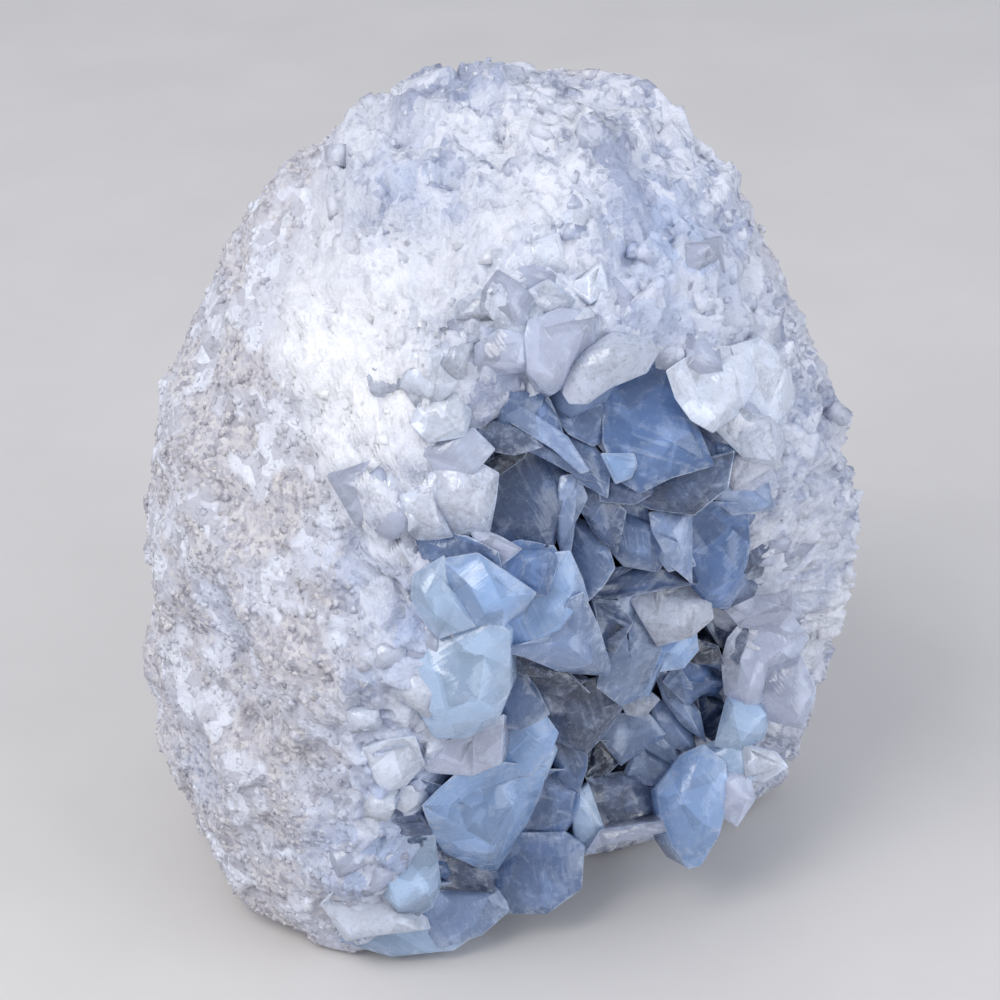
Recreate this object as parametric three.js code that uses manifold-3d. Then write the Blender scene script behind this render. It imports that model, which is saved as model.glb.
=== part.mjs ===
// A free-standing celestite geode: an egg of white granular rind, broken open at the front,
// with a crust of blue celestite crystals lining its hollow.
// Millimetres, +Z up, front towards -Y, origin on the flat base below the middle of the egg.
import * as THREE from "three";
import { ConvexGeometry } from "three/addons/geometries/ConvexGeometry.js";
import { mergeVertices } from "three/addons/utils/BufferGeometryUtils.js";
import Module from "manifold-3d";

// Driving dimensions of the egg

const HEIGHT = 160;
const HALF_WIDTH = 66;
const DEPTH_RATIO = 0.92;
const WIDEST_LEVEL = 57;
const LOWER_REACH = 157;
const UPPER_POWER = 1.9;
const LOWER_POWER = 1.5;
const HEART = new THREE.Vector3(0, 0, 62);
const BASE_ROUNDING = 14;

// The broken front: a leaning plane that cuts the lower right of the egg

const BREAK_TURN = 32.5;
const BREAK_LEAN = -18;
const BREAK_DISTANCE = 22;
const BREAK_ROUNDING = 12;

// The mouth of the hollow: the direction that it faces, and the angle between that direction
// and its rim, seen from the heart, at every thirty degrees round it, from the right upwards

const MOUTH_TURN = 31;
const MOUTH_LEAN = -6;
const RIM_ANGLES = [40, 39, 46, 67, 69, 48, 45, 53, 65, 59, 61, 50];
const LIP_ANGLE = 7;
const LIP_DROP = 0.08;
const MOUTH_MIDDLE = new THREE.Vector3(22, -46, 60);
const HOLLOW_DEPTH = 54;

// Relief of the rind: flat-sided lumps in two sizes

const LUMPS = [
  { cell: 26, height: 3.2, seed: 11 },
  { cell: 12, height: 2, seed: 12 },
];
const BORDER_SHARPNESS = 9;

// Facets of the meshes

const COLUMNS = 48;
const OUTER_ROWS = 17;
const LIP_ROWS = 2;
const WALL_ROWS = 6;
const SKIN_COLUMNS = 12;
const SKIN_ROWS = 4;

// The crust: a skin on the wall of the hollow, and the crystals that grow from it

const SKIN_DEPTHS = [1.2, 5.5];
const SKIN_EDGE = 0.06;
const GAP = 0.35;
const CRUST_BOTTOM = 1;
const FOOT_INSET = 3;
const CORNER_CUT = 0.78;
const LEAST_CUT = 14;
const WANDER = 5;
const SHIFT = 0.08;
const LEAST_FRONT = 0.35;
const FLAT_CORNER = 1e-4;
const SAME_PLACE = 1e-3;

// The crystals are placed as they are seen from the front, from above at the sight lean:
// millimetres across and up from the sight centre, and back from the face of the egg.

const SIGHT_LEAN = 30;
const SIGHT_CENTRE = new THREE.Vector3(0, 0, 75);
const SIGHT_DISTANCE = 520;
const SIGHT_STEP = 0.5;

// A foot of two numbers stands on the wall of the hollow, and one of three is that far back.
// The ends are the slopes in degrees of the four faces of the tip: left, right, low and front.

const CRYSTALS = [
  // Pale teeth and blocks that hang from the upper lip
  { foot: [11, 38, 10], tip: [9.5, 21.5, -1], wide: 12, thick: 10, turn: 0, ends: [38, 28, 20, 35] },
  { foot: [0, 37, 10], tip: [0, 24.5, -1], wide: 10, thick: 9, turn: 12, ends: [10, 8, 10, 22] },
  { foot: [31, 31, 9], tip: [13, 21, -1], wide: 9, thick: 8, turn: 0, ends: [48, 32, 20, 20] },
  { foot: [22, 44, 9], tip: [20, 30, -1], wide: 11, thick: 9, turn: -15, ends: [30, 12, 20, 25] },
  { foot: [38, 38, 12], tip: [33, 26, 2], wide: 9, thick: 8, turn: 10, ends: [35, 20, 15, 15] },
  { foot: [42, 28, 14], tip: [37, 16, -1.5], wide: 15, thick: 13, turn: 20, ends: [30, 35, 25, 30] },
  { foot: [50, 22, 12], tip: [46, 12, -1.5], wide: 12, thick: 10, turn: -10, ends: [25, 35, 25, 25] },
  // Striped blades below the upper lip
  { foot: [-5, 26, 14], tip: [11, 9.5, 6], wide: 6, thick: 4, turn: 30, ends: [58, 50, 20, 20] },
  { foot: [4, 29, 15], tip: [14, 10, 8], wide: 5.5, thick: 4, turn: -20, ends: [50, 40, 20, 20] },
  { foot: [11, 28, 16], tip: [18, 9, 10], wide: 6, thick: 4.5, turn: 10, ends: [50, 45, 15, 15] },
  { foot: [-8, 19, 12], tip: [6, 12.5, 6], wide: 6, thick: 4, turn: 45, ends: [50, 50, 20, 20] },
  // The great slab at the upper right, with small neighbours
  { foot: [22, 31, 18], tip: [33, 6, 9], wide: 17, thick: 13, turn: -10, ends: [18, 38, 20, 20] },
  { foot: [25, 15], tip: [22.5, 5.5, 11], wide: 8, thick: 6, turn: 15, ends: [25, 25, 15, 20] },
  { foot: [46, 8], tip: [30, 3, 11], wide: 7, thick: 6, turn: 30, ends: [45, 40, 20, 20] },
  { foot: [50, 10, 12], tip: [41, 6, 4], wide: 8, thick: 7, turn: -20, ends: [40, 35, 20, 20] },
  { foot: [30, 4], tip: [21, 3.5, 12], wide: 5, thick: 5, turn: 20, ends: [45, 45, 20, 20] },
  // Dark crystals in the middle of the hollow
  { foot: [5, 3], tip: [5, 0, 12], wide: 13, thick: 15, turn: 12, ends: [12, 16, 10, 14] },
  { foot: [-6, 6], tip: [-4, 5, 9], wide: 8, thick: 9, turn: 20, ends: [25, 25, 20, 20] },
  { foot: [13, 5], tip: [13, 4, 9], wide: 4.5, thick: 5, turn: 30, ends: [40, 40, 30, 30] },
  { foot: [16, 1], tip: [19, -13, 9], wide: 8, thick: 7, turn: 40, ends: [48, 45, 20, 20] },
  { foot: [22, 4], tip: [28, -11, 11], wide: 9, thick: 7, turn: 20, ends: [38, 40, 20, 20] },
  { foot: [13, 1], tip: [12, -9, 9], wide: 4, thick: 3.5, turn: 30, ends: [58, 55, 30, 30] },
  { foot: [33, 3], tip: [32, -14, 10], wide: 9, thick: 7, turn: -15, ends: [25, 35, 20, 20] },
  { foot: [20, -9], tip: [20, -19, 12], wide: 10, thick: 6, turn: 0, ends: [20, 25, 15, 15] },
  // The six-sided blue crystal at the right, with pale neighbours on the lip
  { foot: [41, 3], tip: [40, -18, 3], wide: 10, thick: 9, turn: 0, ends: [34, 38, 10, 10] },
  { foot: [51, 4], tip: [48, -11, 4], wide: 9, thick: 8, turn: 15, ends: [30, 30, 20, 20] },
  { foot: [56, -10, 10], tip: [44, -18, -1], wide: 10, thick: 9, turn: 20, ends: [42, 35, 25, 25] },
  { foot: [53, -22, 12], tip: [45, -33, -1], wide: 11, thick: 10, turn: -10, ends: [30, 35, 25, 25] },
  { foot: [52, -36, 12], tip: [44, -45, -1], wide: 10, thick: 10, turn: 15, ends: [30, 35, 25, 25] },
  // The blue point at the left that aims to the right, and what is round it
  { foot: [-14, -9, 15], tip: [5.5, -17.5, 2], wide: 15, thick: 10, turn: 10, ends: [54, 40, 25, 25] },
  { foot: [-13, -12, 10], tip: [-9, -21, -1], wide: 10, thick: 9, turn: 0, ends: [20, 25, 20, 25] },
  { foot: [-9, -2, 12], tip: [-11, -10, 0], wide: 11, thick: 9, turn: 10, ends: [25, 20, 20, 20] },
  { foot: [5, -5], tip: [12, -17, 9], wide: 13, thick: 9, turn: -20, ends: [22, 32, 20, 20] },
  // The great three-cornered crystal at the centre, and the milky lobes at its right
  { foot: [4, -15, 22], tip: [20, -31, 2], wide: 14, thick: 11, turn: 20, ends: [58, 50, 30, 35] },
  { foot: [34, -12], tip: [30, -23, 7], wide: 14, thick: 10, turn: 5, ends: [20, 22, 20, 20] },
  { foot: [27, -20], tip: [22.5, -36, 3], wide: 11, thick: 10, turn: 0, ends: [38, 34, 30, 35] },
  { foot: [31, -20], tip: [29, -35, 7], wide: 9, thick: 9, turn: 20, ends: [30, 30, 20, 20] },
  // Dark and glassy crystals at the lower right
  { foot: [45, -16], tip: [41, -26, 6], wide: 10, thick: 9, turn: 10, ends: [30, 30, 20, 20] },
  { foot: [38, -23], tip: [36, -32, 10], wide: 9, thick: 8, turn: 0, ends: [30, 25, 20, 20] },
  { foot: [40, -29], tip: [35, -44, 7], wide: 7, thick: 6, turn: 25, ends: [48, 42, 25, 25] },
  { foot: [44, -28], tip: [41, -45, 6], wide: 7, thick: 7, turn: -15, ends: [42, 45, 20, 20] },
  { foot: [32, -40], tip: [30, -51, 8], wide: 8, thick: 8, turn: 10, ends: [35, 35, 20, 20] },
  // Grey and dark crystals on the floor of the hollow
  { foot: [15, -30], tip: [15, -39, 12], wide: 11, thick: 8, turn: 10, ends: [25, 30, 20, 20] },
  { foot: [24, -33], tip: [23, -44, 10], wide: 10, thick: 8, turn: -20, ends: [30, 35, 20, 20] },
  { foot: [19, -42], tip: [18, -51, 12], wide: 8, thick: 8, turn: 30, ends: [30, 35, 25, 25] },
  { foot: [27, -43], tip: [27, -52, 8], wide: 9, thick: 7, turn: 0, ends: [30, 30, 25, 25] },
  { foot: [23, -50], tip: [22, -58, 5], wide: 9, thick: 7, turn: 20, ends: [30, 30, 25, 25] },
  { foot: [16, -54], tip: [16, -62, 4], wide: 7, thick: 6, turn: -10, ends: [35, 35, 25, 25] },
  // The hanging blue point at the lower right
  { foot: [43, -40, 12], tip: [37.5, -67, 0], wide: 14, thick: 12, turn: 0, ends: [58, 50, 30, 38] },
  { foot: [50, -40, 12], tip: [48, -54, 0], wide: 11, thick: 10, turn: 10, ends: [35, 35, 25, 25] },
  // The rounded block at the left, and the blue crystals below it
  { foot: [-3, -29, 24], tip: [-6.5, -34, -1], wide: 13, thick: 17, turn: 0, ends: [18, 16, 16, 22] },
  { foot: [-5, -41, 12], tip: [-9, -49, -1], wide: 15, thick: 11, turn: 0, ends: [20, 20, 20, 25] },
  { foot: [3, -34], tip: [2.5, -50, 4], wide: 12, thick: 10, turn: 15, ends: [30, 32, 20, 20] },
  { foot: [12, -35], tip: [12, -51, 8], wide: 10, thick: 9, turn: -10, ends: [30, 30, 20, 20] },
  { foot: [-5, -47, 16], tip: [-2, -67, -1], wide: 15, thick: 12, turn: 10, ends: [46, 50, 30, 30] },
  { foot: [9, -46, 18], tip: [9.5, -61, 5], wide: 10, thick: 9, turn: -15, ends: [25, 30, 20, 20] },
  { foot: [-8, -47, 12], tip: [-15, -58, -1], wide: 13, thick: 11, turn: 20, ends: [30, 30, 20, 25] },
  // Blocks at the foot of the left side, the lowest close to the ground
  { foot: [6, -60, 18], tip: [8, -74, 0], wide: 13, thick: 12, turn: 0, ends: [18, 22, 15, 20] },
  { foot: [-11, -58, 14], tip: [-17, -76, -1], wide: 13, thick: 11, turn: 15, ends: [25, 22, 20, 25] },
  { foot: [-3, -62, 14], tip: [-7, -80, -1], wide: 14, thick: 11, turn: -10, ends: [22, 25, 20, 25] },
  { foot: [0, -73, 12], tip: [-27, -82, -1], wide: 10, thick: 8, turn: 0, ends: [48, 42, 25, 25] },
  { foot: [-15, -58, 12], tip: [-23, -69, -1], wide: 12, thick: 10, turn: 10, ends: [25, 25, 20, 25] },
  { foot: [14, -55, 14], tip: [14.5, -68, 0], wide: 7, thick: 6, turn: 0, ends: [42, 40, 25, 25] },
];

// Pale blocks along the lip: how many, and the lowest and highest of their widths, the depths of
// their feet in the hollow, the shares that they rise above the face, and the slopes of their ends

const LIP_COUNT = 18;
const LIP_SPREAD = 0.6;
const LIP_SIZE = [8, 12];
const LIP_FLATNESS = 0.8;
const LIP_FOOT = [0.16, 0.24];
const LIP_BACK = 3;
const LIP_RISE = [0.01, 0.03];
const LIP_SIDES = [15, 35];
const LIP_FACES = [10, 30];

const CRYSTAL_SEED = 40;

const rad = THREE.MathUtils.degToRad;
const lerp = THREE.MathUtils.lerp;
const wasm = await Module();
wasm.setup();

// A direction from its turn about +Z, away from the front, and its lean above the level
function facing(turn, lean) {
  const level = Math.cos(rad(lean));
  return new THREE.Vector3(Math.sin(rad(turn)) * level, -Math.cos(rad(turn)) * level, Math.sin(rad(lean)));
}

const BREAK = facing(BREAK_TURN, BREAK_LEAN);
const MOUTH = facing(MOUTH_TURN, MOUTH_LEAN);
const MOUTH_RIGHT = new THREE.Vector3(0, 0, 1).cross(MOUTH).normalize();
const MOUTH_UP = MOUTH.clone().cross(MOUTH_RIGHT);
const SIGHT_UP = facing(0, SIGHT_LEAN).cross(new THREE.Vector3(1, 0, 0));
const SIGHT_IN = facing(0, SIGHT_LEAN).negate();

// A number from 0 to 1 that always belongs to the same three whole numbers and seed
function fraction(i, j, k, seed) {
  let h = Math.imul(i, 0x27d4eb2d) ^ Math.imul(j, 0x165667b1);
  h ^= Math.imul(k, 0x9e3779b1) ^ Math.imul(seed, 0x85ebca6b);
  h = Math.imul(h ^ (h >>> 15), 0x2c1b3c6d);
  h = Math.imul(h ^ (h >>> 12), 0x297a2d39);
  return ((h ^ (h >>> 15)) >>> 0) / 2 ** 32;
}

// Relief of flat tilted faces, between about -1 and 1: space is split into cells round scattered
// points, each with a plane of its own, and near the borders neighbouring planes are mixed.
function facets(point, cell, seed) {
  const at = point.clone().divideScalar(cell);
  let weights = 0;
  let height = 0;
  for (let n = 0; n < 27; n++) {
    const i = Math.floor(at.x) + (n % 3) - 1;
    const j = Math.floor(at.y) + (Math.floor(n / 3) % 3) - 1;
    const k = Math.floor(at.z) + Math.floor(n / 9) - 1;
    const draw = (s) => fraction(i, j, k, seed + 100 * s);
    const offset = at.clone().sub(new THREE.Vector3(i + draw(1), j + draw(2), k + draw(3)));
    const tilt = new THREE.Vector3(draw(4) - 0.5, draw(5) - 0.5, draw(6) - 0.5).multiplyScalar(2);
    const weight = Math.exp(-BORDER_SHARPNESS * offset.lengthSq());
    weights += weight;
    height += weight * (tilt.dot(offset) + draw(7) - 0.5);
  }
  return height / weights;
}

// The smaller of two lengths, with the corner between them rounded over a width
function roundedMin(a, b, width) {
  const near = Math.max(width - Math.abs(a - b), 0) / width;
  return Math.min(a, b) - (near * near * width) / 4;
}

// Distance from the heart to the plain egg in a direction, found by halving
function eggRadius(direction) {
  let inside = 0;
  let outside = HEIGHT;
  for (let step = 0; step < 40; step++) {
    const middle = (inside + outside) / 2;
    const z = HEART.z + direction.z * middle;
    const level =
      z > WIDEST_LEVEL
        ? ((z - WIDEST_LEVEL) / (HEIGHT - WIDEST_LEVEL)) ** UPPER_POWER
        : ((WIDEST_LEVEL - z) / LOWER_REACH) ** LOWER_POWER;
    const spread = Math.hypot(direction.x, direction.y / DEPTH_RATIO) * (middle / HALF_WIDTH);
    if (spread ** 2 + level > 1) outside = middle;
    else inside = middle;
  }
  return inside;
}

// Distance from the heart to the outer face in a direction: egg, break, lumps and flat base
function outerRadius(direction) {
  const towardsBreak = BREAK.dot(direction);
  const breakRadius = towardsBreak > 0 ? (BREAK_DISTANCE - BREAK.dot(HEART)) / towardsBreak : Infinity;
  let radius = roundedMin(eggRadius(direction), breakRadius, BREAK_ROUNDING);
  const point = HEART.clone().addScaledVector(direction, radius);
  for (const { cell, height, seed } of LUMPS) radius += height * facets(point, cell, seed);
  const baseRadius = direction.z < 0 ? -HEART.z / direction.z : Infinity;
  return roundedMin(radius, baseRadius, BASE_ROUNDING);
}

// Angle between the mouth's direction and its rim, at an angle round it, by a smooth periodic curve
function rimAngle(round) {
  const count = RIM_ANGLES.length;
  const place = ((round / (2 * Math.PI)) * count + count) % count;
  const start = Math.floor(place);
  const t = place - start;
  const [a, b, c, d] = [-1, 0, 1, 2].map((step) => RIM_ANGLES[(start + step + count) % count]);
  return rad(b + 0.5 * t * (c - a + t * (2 * a - 5 * b + 4 * c - d + t * (3 * (b - c) + d - a))));
}

// Direction from the heart, at an angle round the mouth's axis and an angle away from it
function spoke(round, away) {
  return MOUTH.clone()
    .multiplyScalar(Math.cos(away))
    .addScaledVector(MOUTH_RIGHT, Math.cos(round) * Math.sin(away))
    .addScaledVector(MOUTH_UP, Math.sin(round) * Math.sin(away));
}

// A point on the outer face, or on the lip where the share of the lip is above zero
function outerPoint(round, away, lip = 0) {
  const direction = spoke(round, away - rad(LIP_ANGLE) * lip);
  return HEART.clone().addScaledVector(direction, outerRadius(direction) * (1 - LIP_DROP * lip ** 2));
}

// A point on the wall of the hollow, from the lip at depth 0 to the deepest point at depth 1
function wallPoint(round, depth) {
  const angle = (depth * Math.PI) / 2;
  return outerPoint(round, rimAngle(round), 1)
    .multiplyScalar(Math.cos(angle))
    .addScaledVector(MOUTH_MIDDLE, 1 - Math.cos(angle))
    .addScaledVector(MOUTH, -HOLLOW_DEPTH * Math.sin(angle));
}

// A closed surface from rings of points, with one point at each end
function closedSurface(first, rings, last) {
  const points = [first, ...rings.flat(), last];
  const triangles = [];
  const columns = rings[0].length;
  const at = (ring, column) => 1 + ring * columns + (column % columns);
  for (let c = 0; c < columns; c++) {
    triangles.push(0, at(0, c + 1), at(0, c));
    for (let r = 0; r + 1 < rings.length; r++) {
      triangles.push(at(r, c), at(r, c + 1), at(r + 1, c + 1));
      triangles.push(at(r, c), at(r + 1, c + 1), at(r + 1, c));
    }
    triangles.push(points.length - 1, at(rings.length - 1, c), at(rings.length - 1, c + 1));
  }
  return { points, triangles };
}

// A solid from points and triangles, turned so that its faces point out
function solid({ points, triangles }) {
  const volume = triangles.reduce((sum, _, n) => {
    if (n % 3) return sum;
    const [a, b, c] = triangles.slice(n, n + 3).map((index) => points[index]);
    return sum + a.dot(b.clone().cross(c));
  }, 0);
  const triVerts = Uint32Array.from(volume < 0 ? triangles.slice().reverse() : triangles);
  const vertProperties = Float32Array.from(points.flatMap((point) => point.toArray()));
  return new wasm.Manifold(new wasm.Mesh({ numProp: 3, vertProperties, triVerts }));
}

// A ring of points, one for each column of a surface
function ring(point, columns = COLUMNS) {
  return Array.from({ length: columns }, (_, column) => point((column / columns) * 2 * Math.PI));
}

// The rind as one surface: the outer face from the back to the rim, the lip, and the hollow's wall
function rindSurface() {
  const rings = [];
  for (let row = 1; row <= OUTER_ROWS; row++) {
    const away = (round) => Math.PI + (rimAngle(round) - Math.PI) * (row / OUTER_ROWS);
    rings.push(ring((round) => outerPoint(round, away(round))));
  }
  for (let row = 1; row <= LIP_ROWS; row++)
    rings.push(ring((round) => outerPoint(round, rimAngle(round), row / LIP_ROWS)));
  for (let row = 1; row < WALL_ROWS; row++) rings.push(ring((round) => wallPoint(round, row / WALL_ROWS)));
  return closedSurface(outerPoint(0, Math.PI), rings, wallPoint(0, 1));
}

// The same surface moved out by a distance along the average of the faces at each point
function swollen({ points, triangles }, distance) {
  const normals = points.map(() => new THREE.Vector3());
  for (let n = 0; n < triangles.length; n += 3) {
    const corner = triangles.slice(n, n + 3);
    const [a, b, c] = corner.map((index) => points[index]);
    const normal = b.clone().sub(a).cross(c.clone().sub(a));
    for (const index of corner) normals[index].add(normal);
  }
  const moved = points.map((point, n) => point.clone().addScaledVector(normals[n].normalize(), distance));
  return { points: moved, triangles };
}

// The way out of the hollow's wall at a point, towards the middle of the hollow
function offWall(point) {
  return MOUTH_MIDDLE.clone().addScaledVector(MOUTH, -HOLLOW_DEPTH / 4).sub(point).normalize();
}

// The skin that backs the crystals: a sheet on the hollow's wall, from the lip to the deepest point
function skinSurface() {
  const [near, far] = SKIN_DEPTHS;
  const inset = (round, depth, distance) => {
    const point = wallPoint(round, depth);
    return point.addScaledVector(offWall(point), distance);
  };
  const depth = (row) => SKIN_EDGE + (1 - SKIN_EDGE) * (row / SKIN_ROWS);
  const rings = [];
  for (let row = SKIN_ROWS - 1; row >= 0; row--)
    rings.push(ring((round) => inset(round, depth(row), near), SKIN_COLUMNS));
  for (let row = 0; row < SKIN_ROWS; row++)
    rings.push(ring((round) => inset(round, depth(row), far), SKIN_COLUMNS));
  return closedSurface(inset(0, 1, near), rings, inset(0, 1, far));
}

// A point from millimetres across and up as seen, at a distance in from the sight centre
function sightPoint(across, up, inward) {
  const scale = 1 + inward / SIGHT_DISTANCE;
  return SIGHT_CENTRE.clone()
    .add(new THREE.Vector3(across * scale, 0, 0))
    .addScaledVector(SIGHT_UP, up * scale)
    .addScaledVector(SIGHT_IN, inward);
}

// The point that is seen across and up, and lies a distance back from the face of the egg
function behindFace(across, up, back) {
  let inward = -HEIGHT;
  let from = sightPoint(across, up, inward).sub(HEART);
  while (inward < 0 && from.length() > outerRadius(from.clone().normalize())) {
    inward += SIGHT_STEP;
    from = sightPoint(across, up, inward).sub(HEART);
  }
  return sightPoint(across, up, inward + back);
}

// Points over the wall of the hollow, with their places as seen
const WALL_GRID = ring((round) =>
  Array.from({ length: WALL_ROWS * 2 - 1 }, (_, n) => wallPoint(round, (n + 1) / (WALL_ROWS * 2))),
).flat().map((point) => {
  const from = point.clone().sub(SIGHT_CENTRE);
  const scale = 1 + from.dot(SIGHT_IN) / SIGHT_DISTANCE;
  return { point, seen: new THREE.Vector2(from.x / scale, from.dot(SIGHT_UP) / scale) };
});

// The wall point that is seen nearest to a place
function onWall(across, up) {
  const place = new THREE.Vector2(across, up);
  const distance = ({ seen }) => seen.distanceTo(place);
  return WALL_GRID.reduce((best, next) => (distance(next) < distance(best) ? next : best)).point;
}

// A solid from the triangles of a geometry, once the corners that they share are merged
function solidOf(geometry) {
  geometry.deleteAttribute("normal");
  geometry.deleteAttribute("uv");
  const merged = mergeVertices(geometry);
  const position = merged.getAttribute("position");
  const points = Array.from({ length: position.count }, (_, n) =>
    new THREE.Vector3().fromBufferAttribute(position, n),
  );
  return solid({ points, triangles: Array.from(merged.index.array) });
}

// A solid bounded by planes, each a unit normal and its distance from the origin: its corners are
// the points where three planes meet that lie outside no other plane.
function planeSolid(planes) {
  const corners = [];
  for (let a = 0; a < planes.length; a++)
    for (let b = a + 1; b < planes.length; b++)
      for (let c = b + 1; c < planes.length; c++) {
        const meeting = [planes[a], planes[b], planes[c]];
        const rows = meeting.flatMap(({ normal }) => normal.toArray());
        const matrix = new THREE.Matrix3().set(...rows);
        if (Math.abs(matrix.determinant()) < FLAT_CORNER) continue;
        const corner = new THREE.Vector3(...meeting.map(({ limit }) => limit));
        corner.applyMatrix3(matrix.invert());
        if (planes.some(({ normal, limit }) => normal.dot(corner) > limit + SAME_PLACE)) continue;
        if (corners.every((other) => other.distanceTo(corner) > SAME_PLACE)) corners.push(corner);
      }
  return solidOf(new ConvexGeometry(corners));
}

// A crystal from its foot to its tip: a flat prism with a four-sided end, and with cut corners
// where it is wide. It starts square to the ground direction, or to its own axis where none is
// given. The number of the crystal sets how far its faces lean and shift from the even form.
function crystal({ foot, tip, wide, thick, turn, ends, ground }, number) {
  const axis = tip.clone().sub(foot).normalize();
  const towards = SIGHT_IN.clone().negate();
  const front = towards.addScaledVector(axis, -towards.dot(axis));
  if (front.length() < LEAST_FRONT) front.copy(SIGHT_UP).addScaledVector(axis, -SIGHT_UP.dot(axis));
  front.normalize().applyAxisAngle(axis, rad(turn));
  const side = front.clone().cross(axis);
  const draw = (plane, use) => fraction(number, plane, use, CRYSTAL_SEED) * 2 - 1;
  const planes = [];
  const add = (normal, through, distance) => {
    const n = planes.length;
    const lean = new THREE.Vector3(draw(n, 1), draw(n, 2), draw(n, 3)).multiplyScalar(rad(WANDER));
    const wandered = normal.clone().add(lean).normalize();
    planes.push({ normal: wandered, limit: wandered.dot(through) + distance * (1 + SHIFT * draw(n, 4)) });
  };
  add(side, tip, wide / 2);
  add(side.clone().negate(), tip, wide / 2);
  add(front, tip, thick / 2);
  add(front.clone().negate(), tip, thick / 2);
  const corners = wide < LEAST_CUT ? [] : [[1, 1], [1, -1], [-1, 1], [-1, -1]];
  for (const [across, ahead] of corners) {
    const corner = new THREE.Vector3()
      .addScaledVector(side, across * thick)
      .addScaledVector(front, ahead * wide);
    const reach = (wide * thick) / corner.length();
    add(corner.normalize(), tip, reach * CORNER_CUT);
  }
  for (const [slope, out] of [
    [ends[0], side.clone().negate()],
    [ends[1], side],
    [ends[2], front.clone().negate()],
    [ends[3], front],
  ])
    add(axis.clone().multiplyScalar(Math.cos(rad(slope))).addScaledVector(out, Math.sin(rad(slope))), tip, 0);
  const start = (ground ?? axis).clone().negate();
  planes.push({ normal: start, limit: start.dot(foot) - FOOT_INSET });
  return planeSolid(planes);
}

// The named crystals, each from its place as seen
function largeCrystals() {
  return CRYSTALS.map((row, number) => {
    const buried = row.foot.length > 2;
    const foot = buried ? behindFace(...row.foot) : onWall(...row.foot);
    const ground = buried ? null : offWall(foot);
    return crystal({ ...row, foot, tip: behindFace(...row.tip), ground }, number);
  });
}

// Blocks along the lip, each from the inside of the lip out through it
function lipCrystals() {
  return Array.from({ length: LIP_COUNT }, (_, n) => {
    const draw = (use) => fraction(n, use, 0, CRYSTAL_SEED + 1);
    const round = ((n + LIP_SPREAD * draw(1)) / LIP_COUNT) * 2 * Math.PI;
    const foot = wallPoint(round, lerp(...LIP_FOOT, draw(2)));
    const wide = lerp(...LIP_SIZE, draw(3));
    const thick = wide * LIP_FLATNESS;
    const rim = outerPoint(round, rimAngle(round) - rad(LIP_BACK * draw(4)));
    const tip = rim.lerp(HEART, -lerp(...LIP_RISE, draw(5)));
    const ranges = [LIP_SIDES, LIP_SIDES, LIP_FACES, LIP_FACES];
    const ends = ranges.map((range, face) => lerp(...range, draw(6 + face)));
    return crystal({ foot, tip, wide, thick, turn: 360 * draw(10), ends }, CRYSTALS.length + n);
  });
}

// Everything above the crust's lowest level
function aboveGround() {
  const box = new THREE.BoxGeometry(4 * HEIGHT, 4 * HEIGHT, 2 * HEIGHT);
  return solidOf(box.translate(0, 0, HEIGHT + CRUST_BOTTOM));
}

// The crust: skin and crystals grown into one, kept clear of the rind and of the ground
function crustSolid(rind) {
  const grown = wasm.Manifold.union([solid(skinSurface()), ...largeCrystals(), ...lipCrystals()]);
  const cleared = grown.subtract(solid(swollen(rind, GAP))).intersect(aboveGround());
  const bodies = cleared.decompose();
  return bodies.reduce((best, next) => (next.volume() > best.volume() ? next : best));
}

// A named mesh from a solid
function named(name, body, look) {
  const { vertProperties, triVerts, numProp } = body.getMesh();
  const geometry = new THREE.BufferGeometry();
  const position = new Float32Array((vertProperties.length / numProp) * 3);
  for (let n = 0; n < position.length; n++)
    position[n] = vertProperties[Math.floor(n / 3) * numProp + (n % 3)];
  geometry.setAttribute("position", new THREE.BufferAttribute(position, 3));
  geometry.setIndex(Array.from(triVerts));
  geometry.computeVertexNormals();
  const mesh = new THREE.Mesh(geometry, new THREE.MeshStandardMaterial(look));
  mesh.name = name;
  return mesh;
}

const rind = rindSurface();
const geode = new THREE.Group();
geode.add(named("geode_rind", solid(rind), { color: "#cfd0d8", roughness: 0.8, metalness: 0 }));
geode.add(named("crystal_crust", crustSolid(rind), { color: "#8fa6c8", roughness: 0.2, metalness: 0 }));
export default geode;
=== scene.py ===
"""A free-standing celestite geode: an egg of white granular rind, broken open at the front,
with a crust of blue crystals lining its hollow. Lengths in the shape functions are millimetres."""

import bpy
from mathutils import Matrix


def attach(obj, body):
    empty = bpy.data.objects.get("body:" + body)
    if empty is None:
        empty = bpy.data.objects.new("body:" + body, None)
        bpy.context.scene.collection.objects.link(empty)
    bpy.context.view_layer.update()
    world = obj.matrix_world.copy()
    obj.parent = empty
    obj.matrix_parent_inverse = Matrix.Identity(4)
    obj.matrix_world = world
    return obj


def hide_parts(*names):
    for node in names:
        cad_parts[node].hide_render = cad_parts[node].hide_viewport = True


bl_info = {
    "name": "Celestite Geode",
    "version": (1, 0, 0),
    "blender": (4, 5, 0),
    "location": "View3D > Sidebar > Geode",
    "description": "Makes the rind, grains and crystals of a celestite geode",
    "category": "Add Mesh",
}

import functools
import math

import bpy
import numpy as np
from mathutils import Matrix, Vector

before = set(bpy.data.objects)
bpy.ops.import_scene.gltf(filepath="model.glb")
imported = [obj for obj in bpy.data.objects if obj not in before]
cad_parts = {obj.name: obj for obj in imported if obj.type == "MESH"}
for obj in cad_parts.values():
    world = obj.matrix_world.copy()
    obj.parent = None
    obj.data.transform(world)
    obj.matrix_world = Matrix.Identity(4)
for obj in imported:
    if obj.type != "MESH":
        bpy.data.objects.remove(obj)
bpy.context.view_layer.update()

MM = 0.001

# The egg

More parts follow.
